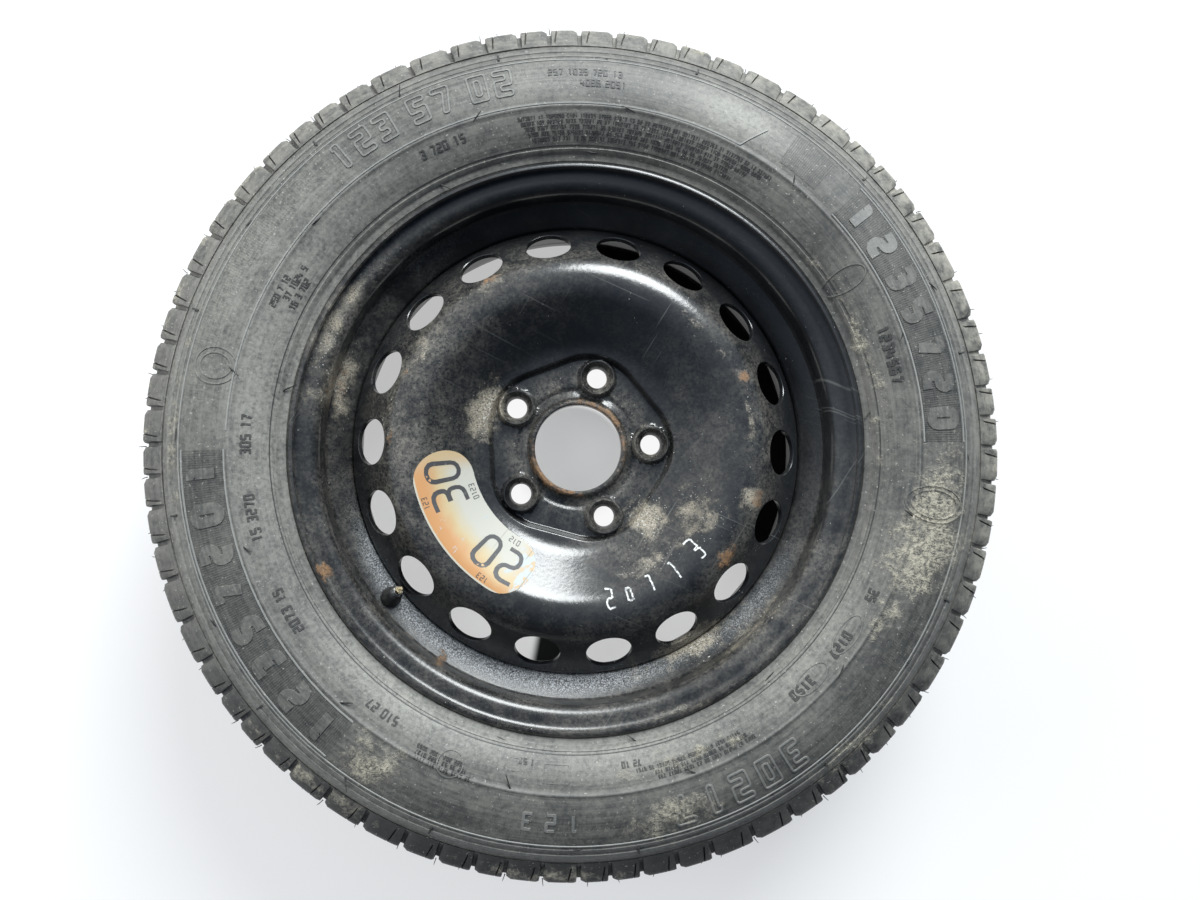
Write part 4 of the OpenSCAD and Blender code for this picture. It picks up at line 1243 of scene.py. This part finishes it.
def tyre_rubber(name):
    """Weathered rubber: grey bloom over black in clouds and fine mottles, faint streaks round the wheel,
    mould grain, pale specks, and beige mud where the mud mark is high. Where the pale mark is high it lays
    grey bloom that is also painted sheen, and where the worn mark is, worn dust that is also painted sheen.
    The tone mark lightens the colour as a painted highlight where it is above 0, on ring tops and
    smooth digits, and darkens it as painted shade where it is below 0, on hatched panels, ticks, bead lines,
    small digits and the tread's lower side."""
    look = Look(name)
    radius, azimuth = look.round_place()
    mottle = look.noise(95, 4, 0.7)
    fine = look.noise(340, 4, 0.7)
    wound = look.node("ShaderNodeCombineXYZ", {0: look.times(radius, 0.5), 1: look.times(azimuth, 0.05)})
    streak = look.noise(1, 3, 0.6, wound.outputs[0])
    bloom = look.plus(look.times(look.noise(16, 4, 0.6), 0.22),
                      look.times(look.plus(mottle, streak, fine), 0.26))
    film = look.fade(look.plus(look.times(bloom, 0.5), look.times(fine, 0.5)), 0.24, 0.68)
    tone = look.mark("tone")
    mud = look.clumps(look.mark("mud"), look.noise(62, 7, 0.72), 2.4, (0.34, 0.9), (0.02, 0.2), fine, 0.58)
    base = look.coats(
        look.mix((0.048, 0.0485, 0.046), (0.152, 0.147, 0.132), look.fade(bloom, 0.38, 0.62)),
        # Grey bloom that is also painted sheen, where the pale mark is high
        ((0.36, 0.355, 0.315), look.times(look.mark("pale"), film)),
        # Painted shade where tone is below 0 and painted highlight where it is above 0
        ((0.022, 0.0225, 0.022), look.times(look.fade(tone, 0.0, -1.0), 0.85)),
        ((0.33, 0.335, 0.32), look.times(look.fade(tone, 0.0, 1.0), 0.62)),
        # Worn dust that is also painted sheen, where the worn mark is
        ((0.3, 0.285, 0.24), look.times(look.mark("worn"), look.fade(mottle, 0.3, 0.7))),
        ((0.4, 0.39, 0.35), look.times(look.fade(look.noise(520, 1), 0.7, 0.75), 0.6)),
        (look.mix((0.24, 0.215, 0.165), (0.62, 0.58, 0.46), fine), look.times(mud, 0.85)))
    grain = look.bump(look.noise(1300, 2, 0.6), 0.00015, 0.6)
    scuffed = look.bump(mottle, 0.0006, 0.4, look.bump(fine, 0.0003, 0.4, grain))
    crust = look.bump(look.times(mud, look.plus(0.6, fine)), 0.0007, 0.8, scuffed)
    rough = look.plus(0.34, look.times(look.most(mud, bloom), 0.36))
    return look.set(Base_Color=base, Roughness=rough, Normal=crust)


def label_film(name):
    """Printed film: orange at its outer edge, yellow and cream towards the hub, a pale border, and scratches
    and a bleached patch at its lower end."""
    look = Look(name)
    across, along = look.mark("across"), look.mark("lengthwise")
    level = look.plus(across, look.times(look.minus(look.noise(45, 3), 0.5), 0.7), look.times(along, 0.12))
    worn = look.fade(look.plus(look.noise(120, 5, 0.7, look.stretched((1, 0.35, 1), (0, 0, 40))),
                               look.times(look.fade(along, -0.9, -1.4), 0.17)), 0.64, 0.7)
    scratch = look.fade(look.noise(1, 1, place=look.stretched((14, 700, 14), (0, 0, -52))), 0.69, 0.71)
    base = look.coats(
        look.mix((0.66, 0.65, 0.57), (0.72, 0.58, 0.33), look.fade(level, -0.35, 0.35)),
        ((0.72, 0.36, 0.14), look.fade(level, 0.15, 0.75)),
        ((0.7, 0.52, 0.3), look.fade(look.size_of(along), 1.05, 1.5)),
        ((0.7, 0.66, 0.54), look.fade(across, 0.92, 0.96)), ((0.62, 0.68, 0.7), worn),
        ((0.35, 0.3, 0.24), look.times(scratch, look.fade(along, -0.2, -1.0))), ((0, 0, 0), 0.28))
    return look.set(Base_Color=base, Roughness=0.55, Normal=look.bump(look.plus(worn, scratch), 0.00015, 0.4))


def ink(name):
    """Grey-black print, rubbed thin in places."""
    look = Look(name)
    rubbed = look.times(look.fade(look.noise(260, 4, 0.7), 0.56, 0.8), 0.4)
    return look.set(Base_Color=look.mix((0.05, 0.05, 0.053), (0.42, 0.4, 0.34), rubbed), Roughness=0.5)


def marker_paint(name):
    """White marker, broken where it skipped over the paint."""
    look = Look(name)
    skipped = look.fade(look.noise(420, 4, 0.7), 0.5, 0.6)
    return look.set(Base_Color=look.mix((0.7, 0.71, 0.7), (0.16, 0.165, 0.17), skipped), Roughness=0.55)


def patchy(name, clean, dirty, noise, ends, share, rough, grain, metallic=0.0):
    """A clean colour with dirt, tarnish or rust in patches of noise, which are rougher, and a fine grain,
    given as its noise's scale and detail and its bump's height and strength."""
    look = Look(name)
    patch = look.fade(look.noise(*noise), *ends)
    return look.set(Base_Color=look.mix(clean, dirty, look.times(patch, share)), Metallic=metallic,
                    Roughness=look.plus(rough[0], look.times(patch, rough[1])),
                    Normal=look.bump(look.noise(*grain[:2]), *grain[2:]))


def valve_metal(name, clean, dull, rough):
    """Bare metal with tarnish and dirt in patches."""
    return patchy(name, clean, dull, (900, 4, 0.65), (0.38, 0.68), 1.0, (rough, 0.3), (2600, 2, 0.00004, 0.5),
                  metallic=1.0)


def sealing(name, colour):
    """A plain moulded seal with a faint grain."""
    look = Look(name)
    return look.set(Base_Color=look.mix(colour, tuple(c * 0.6 for c in colour), look.noise(2000, 3)),
                    Roughness=0.45, Normal=look.bump(look.noise(4000, 1), 0.00003, 0.4))


rim_paint = black_paint("rim_paint", 0.24)
disc_paint = black_paint("disc_paint", 0.17)
rubber = tyre_rubber("tyre_rubber")
black_rubber = patchy("valve_rubber", (0.014, 0.0145, 0.015), (0.085, 0.08, 0.07), (300, 4, 0.65),
                      (0.4, 0.75), 0.7, (0.5, 0.3), (1800, 2, 0.00008, 0.5))
burnt_paint = patchy("burnt_paint", (0.016, 0.017, 0.018), (0.13, 0.062, 0.03), (180, 5, 0.7),
                     (0.45, 0.65), 0.8, (0.35, 0.4), (900, 3, 0.0002, 0.6))
metal = valve_metal("valve_metal", (0.42, 0.42, 0.41), (0.12, 0.115, 0.105), 0.3)
brass = valve_metal("core_brass", (0.36, 0.3, 0.19), (0.1, 0.085, 0.06), 0.34)
steel = valve_metal("spring_wire", (0.62, 0.62, 0.62), (0.4, 0.39, 0.37), 0.25)


# Camera and stage: the camera comes from the photo's ellipses, and the floor is what the tyre lies on

eye = bpy.data.cameras.new("camera")
eye.lens = 29.64
eye.sensor_width = 36
camera = bpy.data.objects.new("camera", eye)
bpy.context.scene.collection.objects.link(camera)
camera.location = Vector((-19.3, -44.3, 750.7)) * MM
ahead = Vector((0.0482, 0.0576, -1)).normalized()
right = ahead.cross(Vector((0, 1, 0))).normalized()
above = right.cross(ahead)
camera.rotation_euler = Matrix((right, above, -ahead)).transposed().to_euler()
bpy.context.scene.camera = camera


def lamp(name, azimuth, elevation, distance, size, power, colour=(1, 1, 1), mirrored_in_paint=True):
    """A round area light that looks at the wheel."""
    data = bpy.data.lights.new(name, "AREA")
    data.shape = "DISK"
    data.size = size
    data.energy = power
    data.color = colour
    made = bpy.data.objects.new(name, data)
    bpy.context.scene.collection.objects.link(made)
    a, e = math.radians(azimuth), math.radians(elevation)
    towards = Vector((math.cos(a) * math.cos(e), math.sin(a) * math.cos(e), math.sin(e)))
    made.location = towards * distance
    made.rotation_euler = towards.to_track_quat("Z", "Y").to_euler()
    made.visible_glossy = mirrored_in_paint


lamp("key", 72, 38, 2.6, 1.4, 100, (0.95, 0.99, 1))
lamp("side", 178, 24, 2.8, 1.8, 44, (1, 0.99, 0.95), False)

world = bpy.data.worlds.new("sky")
bpy.context.scene.world = world
world.use_nodes = True
sky = world.node_tree
towards_window = sky.nodes.new("ShaderNodeVectorMath")
towards_window.operation = "DOT_PRODUCT"
towards_window.inputs[1].default_value = (-0.35, 0.8, 0.25)
sky.links.new(sky.nodes.new("ShaderNodeTexCoord").outputs["Generated"], towards_window.inputs[0])
brightness = sky.nodes.new("ShaderNodeMapRange")
brightness.interpolation_type = "SMOOTHSTEP"
for place_in, level in (("From Min", -0.5), ("From Max", 0.9), ("To Min", 0.05), ("To Max", 0.95)):
    brightness.inputs[place_in].default_value = level
sky.links.new(towards_window.outputs["Value"], brightness.inputs["Value"])
tint = sky.nodes.new("ShaderNodeMix")
tint.data_type = "RGBA"
tint.inputs[6].default_value = (0.42, 0.64, 1, 1)
tint.inputs[7].default_value = (0.93, 0.97, 1, 1)
sky.links.new(brightness.outputs[0], tint.inputs[0])
sky.links.new(tint.outputs[2], sky.nodes["Background"].inputs["Color"])
sky.links.new(brightness.outputs[0], sky.nodes["Background"].inputs["Strength"])
bpy.context.scene.view_settings.view_transform = "Standard"


def make_floor():
    """A pale disc under the wheel, which the camera sees as half lit and half white. It carries a painted
    shadow, nearly black, in two parts of a ring under the wheel, painted light that makes it nearly white
    behind the wheel bolt holes, and a little painted shade behind the bore. From below it can be seen
    through."""
    look = Look("floor_paper")
    ring = polar(4000, np.arange(96) * 3.75, FLOOR_Z)
    mesh = bpy.data.meshes.new("floor")
    mesh.from_pydata((ring * MM).tolist(), [], [list(range(96))])
    made = bpy.data.objects.new("floor", mesh)
    bpy.context.scene.collection.objects.link(made)
    path = look.node("ShaderNodeLightPath")
    seen = look.most(path.outputs["Is Camera Ray"], path.outputs["Is Glossy Ray"],
                     path.outputs["Is Transmission Ray"])
    white = look.node("ShaderNodeEmission", {"Color": (1, 1, 1, 1), "Strength": 1.0})
    radius, azimuth = look.round_place()
    # Painted shadow on the floor: two sectors of a ring under the wheel, nearly black, with no white for the
    # camera
    shadow_sectors = [look.fade(look.size_of(look.minus(azimuth, turn)), half, half - 3)
               for turn, half in ((29.0, 60), (-96.3, 6.7))]
    painted_shadow = look.times(look.most(*shadow_sectors), look.fade(radius, 118, 150), look.fade(radius, 240, 215))
    # Painted light behind the bolt holes and painted shade behind the bore, through the share of white that
    # the camera sees
    painted_light_behind_bolts = look.times(look.fade(radius, 44, 50), look.fade(radius, 100, 92))
    painted_shade_behind_bore = look.fade(radius, 60, 46)
    share = look.plus(0.5, look.times(painted_light_behind_bolts, 0.42), look.times(painted_shade_behind_bore, -0.1))
    look.set(Base_Color=look.mix((0.9, 0.9, 0.9), (0.012, 0.012, 0.012), painted_shadow), Roughness=0.9)
    both = look.node("ShaderNodeMixShader", {0: look.times(seen, look.minus(1.0, painted_shadow), share),
                                             1: look.shader.outputs[0], 2: white.outputs[0]})
    from_below = look.node("ShaderNodeNewGeometry").outputs["Backfacing"]
    clear = look.node("ShaderNodeBsdfTransparent").outputs[0]
    whole = look.node("ShaderNodeMixShader", {0: from_below, 1: both.outputs[0], 2: clear})
    look.feed(look.tree.nodes["Material Output"].inputs[0], whole.outputs[0])
    mesh.materials.append(look.material)


make_floor()


# The wheel's pieces, with their dirt, painted sheen and painted shade as (azimuth, radius, half angle, half
# breadth, strength)

rim = dress(make_rim(), rim_paint, replaces=["rim"])
disc = dress(make_disc(), disc_paint, replaces=["disc"])
walls = dress(make_walls(), rubber, replaces=["tyre"])
tread = dress(make_tread(), rubber)
marks = dress(make_marks(), rubber)
rear_marks = dress(make_marks(-1), rubber)
dress(make_hairs(), black_rubber)
dress(make_label(), label_film("label_film"), replaces=["disc_label"])
dress(make_label_print(), ink("label_ink"))
dress(make_strokes(), marker_paint("marker_paint"))
dress(make_welds(), burnt_paint, replaces=["weld_seams"])
dress(make_stem(), metal, replaces=["valve_stem"])
make_spring()
for node, material in (("valve_body", black_rubber), ("core_plug", brass), ("core_barrel", brass),
                       ("barrel_seal", sealing("red_seal", (0.5, 0.06, 0.04))),
                       ("core_pin", brass), ("core_cup", brass),
                       ("cup_seal", sealing("black_seal", (0.02, 0.02, 0.021)))):
    for held in frame["nodes"][node].material_slots:
        held.material = material

SEATS = [(BOLT_TURN + 72 * k, BOLT_R, 14, 12, 0.6) for k in range(BOLT_COUNT)]
DUST = [(165, 183, 10, 8, 1.1), (154, 197, 18, 8, 0.95), (299, 171, 15, 12, 1.15), (313, 186, 20, 6, 0.65),
        (294, 204, 12, 6, 0.6), (268, 204, 20, 5, 0.5), (158, 74, 21, 15, 1.2), (313, 74, 16, 17, 1.05),
        (331, 100, 12, 22, 0.85), (303, 101, 15, 9, 0.85), (343, 130, 6, 10, 1.0), (8, 127, 17, 4, 0.75),
        (20, 52, 24, 8, 0.5), (300, 60, 24, 6, 0.6), (90, 47, 50, 8, 0.4), (45, 124, 22, 5, 0.5),
        (118, 137, 9, 9, 0.7), (148, 132, 12, 10, 0.65), (171, 140, 10, 10, 0.55)] + SEATS
RUST = [(45, 34.5, 100, 4.5, 0.8), (225, 34, 80, 5, 0.95), (206.6, 201, 2.4, 5, 1.1),
        (237, 184, 2.2, 4.5, 1.0), (323, 134, 6, 7, 1.1), (343, 136, 4, 6, 0.95), (23, 131, 3, 7, 1.1),
        (166, 184, 7, 6, 0.75), (118, 140, 4, 6, 0.8), (158, 136, 3, 5, 0.75), (178, 137, 4, 4, 0.6)]
RUST += [(turn, r, half, 8, 0.55) for turn, r, half, _, _ in SEATS]
# Grey sand specks on the well that are also a painted glint of sunlit paint round the valve
GRIT_AND_GLINT = [(250, 174, 52, 11, 1.0), (215, 172, 18, 9, 0.9), (318, 178, 26, 10, 0.5)]
# Thin dust on the rim and the disc, placed and made stronger where it is also painted sheen
RIM_DUST_AND_SHEEN = [(215, 195, 50, 40, 0.55), (150, 193, 24, 24, 0.9), (275, 195, 40, 40, 0.5),
            (325, 190, 28, 30, 0.6), (350, 160, 20, 12, 0.5)]
DISC_DUST_AND_SHEEN = [(170, 130, 60, 28, 0.9), (110, 138, 30, 18, 0.7), (60, 140, 40, 12, 0.5), (0, 138, 60, 14, 0.7),
             (300, 138, 30, 12, 0.5), (180, 105, 40, 30, 0.6), (300, 82, 36, 30, 0.5), (0, 95, 40, 40, 0.3),
             (0, 45, 360, 14, 0.75)]
MUD = [(238, 262, 6, 20, 0.75), (284, 268, 8, 20, 0.75), (346, 258, 13, 28, 0.95), (312, 292, 9, 14, 0.7),
       (268, 305, 12, 8, 0.7), (20, 218, 26, 7, 0.5), (230, 300, 14, 10, 0.5), (70, 312, 30, 8, 0.5),
       (0, 314, 50, 8, 0.6), (150, 312, 50, 8, 0.55), (290, 232, 16, 10, 0.5), (332, 250, 10, 10, 0.55),
       (175, 285, 20, 8, 0.45)]
# Worn, dusty tread that is also painted sheen, mostly on its right side
WEAR_AND_SHEEN = [(20, 308, 60, 14, 1.2), (120, 306, 40, 10, 0.45)]
# Grey bloom on the sidewalls that is also painted sheen, most strongly on the left and lower left
BLOOM_AND_SHEEN = [(170, 226, 44, 26, 0.72), (152, 262, 26, 22, 0.45), (236, 218, 30, 20, 0.75), (316, 224, 20, 16, 0.4),
        (282, 222, 24, 14, 0.5), (64, 264, 9, 16, 0.7), (200, 287, 60, 9, 0.35), (100, 262, 14, 18, 0.3),
        (15, 288, 40, 7, 0.3)]
# Painted shade on the tread's lower side
PAINTED_SHADE = [(275, 305, 60, 30, 1.2)]
THIN_FILM = 0.05
ON_RUBBER = {"mud": MUD, "worn": WEAR_AND_SHEEN, "pale": BLOOM_AND_SHEEN}
for piece, spots in ((rim, {"dust": DUST, "rust": RUST, "grit": GRIT_AND_GLINT, "film": RIM_DUST_AND_SHEEN}),
                     (disc, {"dust": DUST, "rust": RUST, "grit": [], "film": DISC_DUST_AND_SHEEN}),
                     (walls, ON_RUBBER), (tread, ON_RUBBER), (marks, ON_RUBBER), (rear_marks, ON_RUBBER)):
    points = points_of(piece)
    for name, places in spots.items():
        mark(piece, name, patches(points, places) + (THIN_FILM if name == "film" else 0))
points = points_of(walls)
radius, azimuth = np.hypot(points[:, 0], points[:, 1]), np.degrees(np.arctan2(points[:, 1], points[:, 0]))
# On the walls: painted highlight on the ring tops outside 240 mm, painted shade on the hatched panels
wall_painted_light = 0.25 * (ring_lift(radius) > 0.3) * (radius > 240)
for start, sweep in PANELS:
    front = points[:, 2] > -INSET
    within = np.abs((np.where(front, azimuth, -azimuth) - start - sweep / 2 + 180) % 360 - 180) < sweep / 2
    wall_painted_light[within & (radius > 247) & (radius < 277)] = -0.45
# The tread's tone is painted shade on its lower side
for piece, tone in ((walls, wall_painted_light), (tread, -patches(points_of(tread), PAINTED_SHADE))):
    piece.data.attributes["tone"].data.foreach_set("value", tone.astype(np.float32))
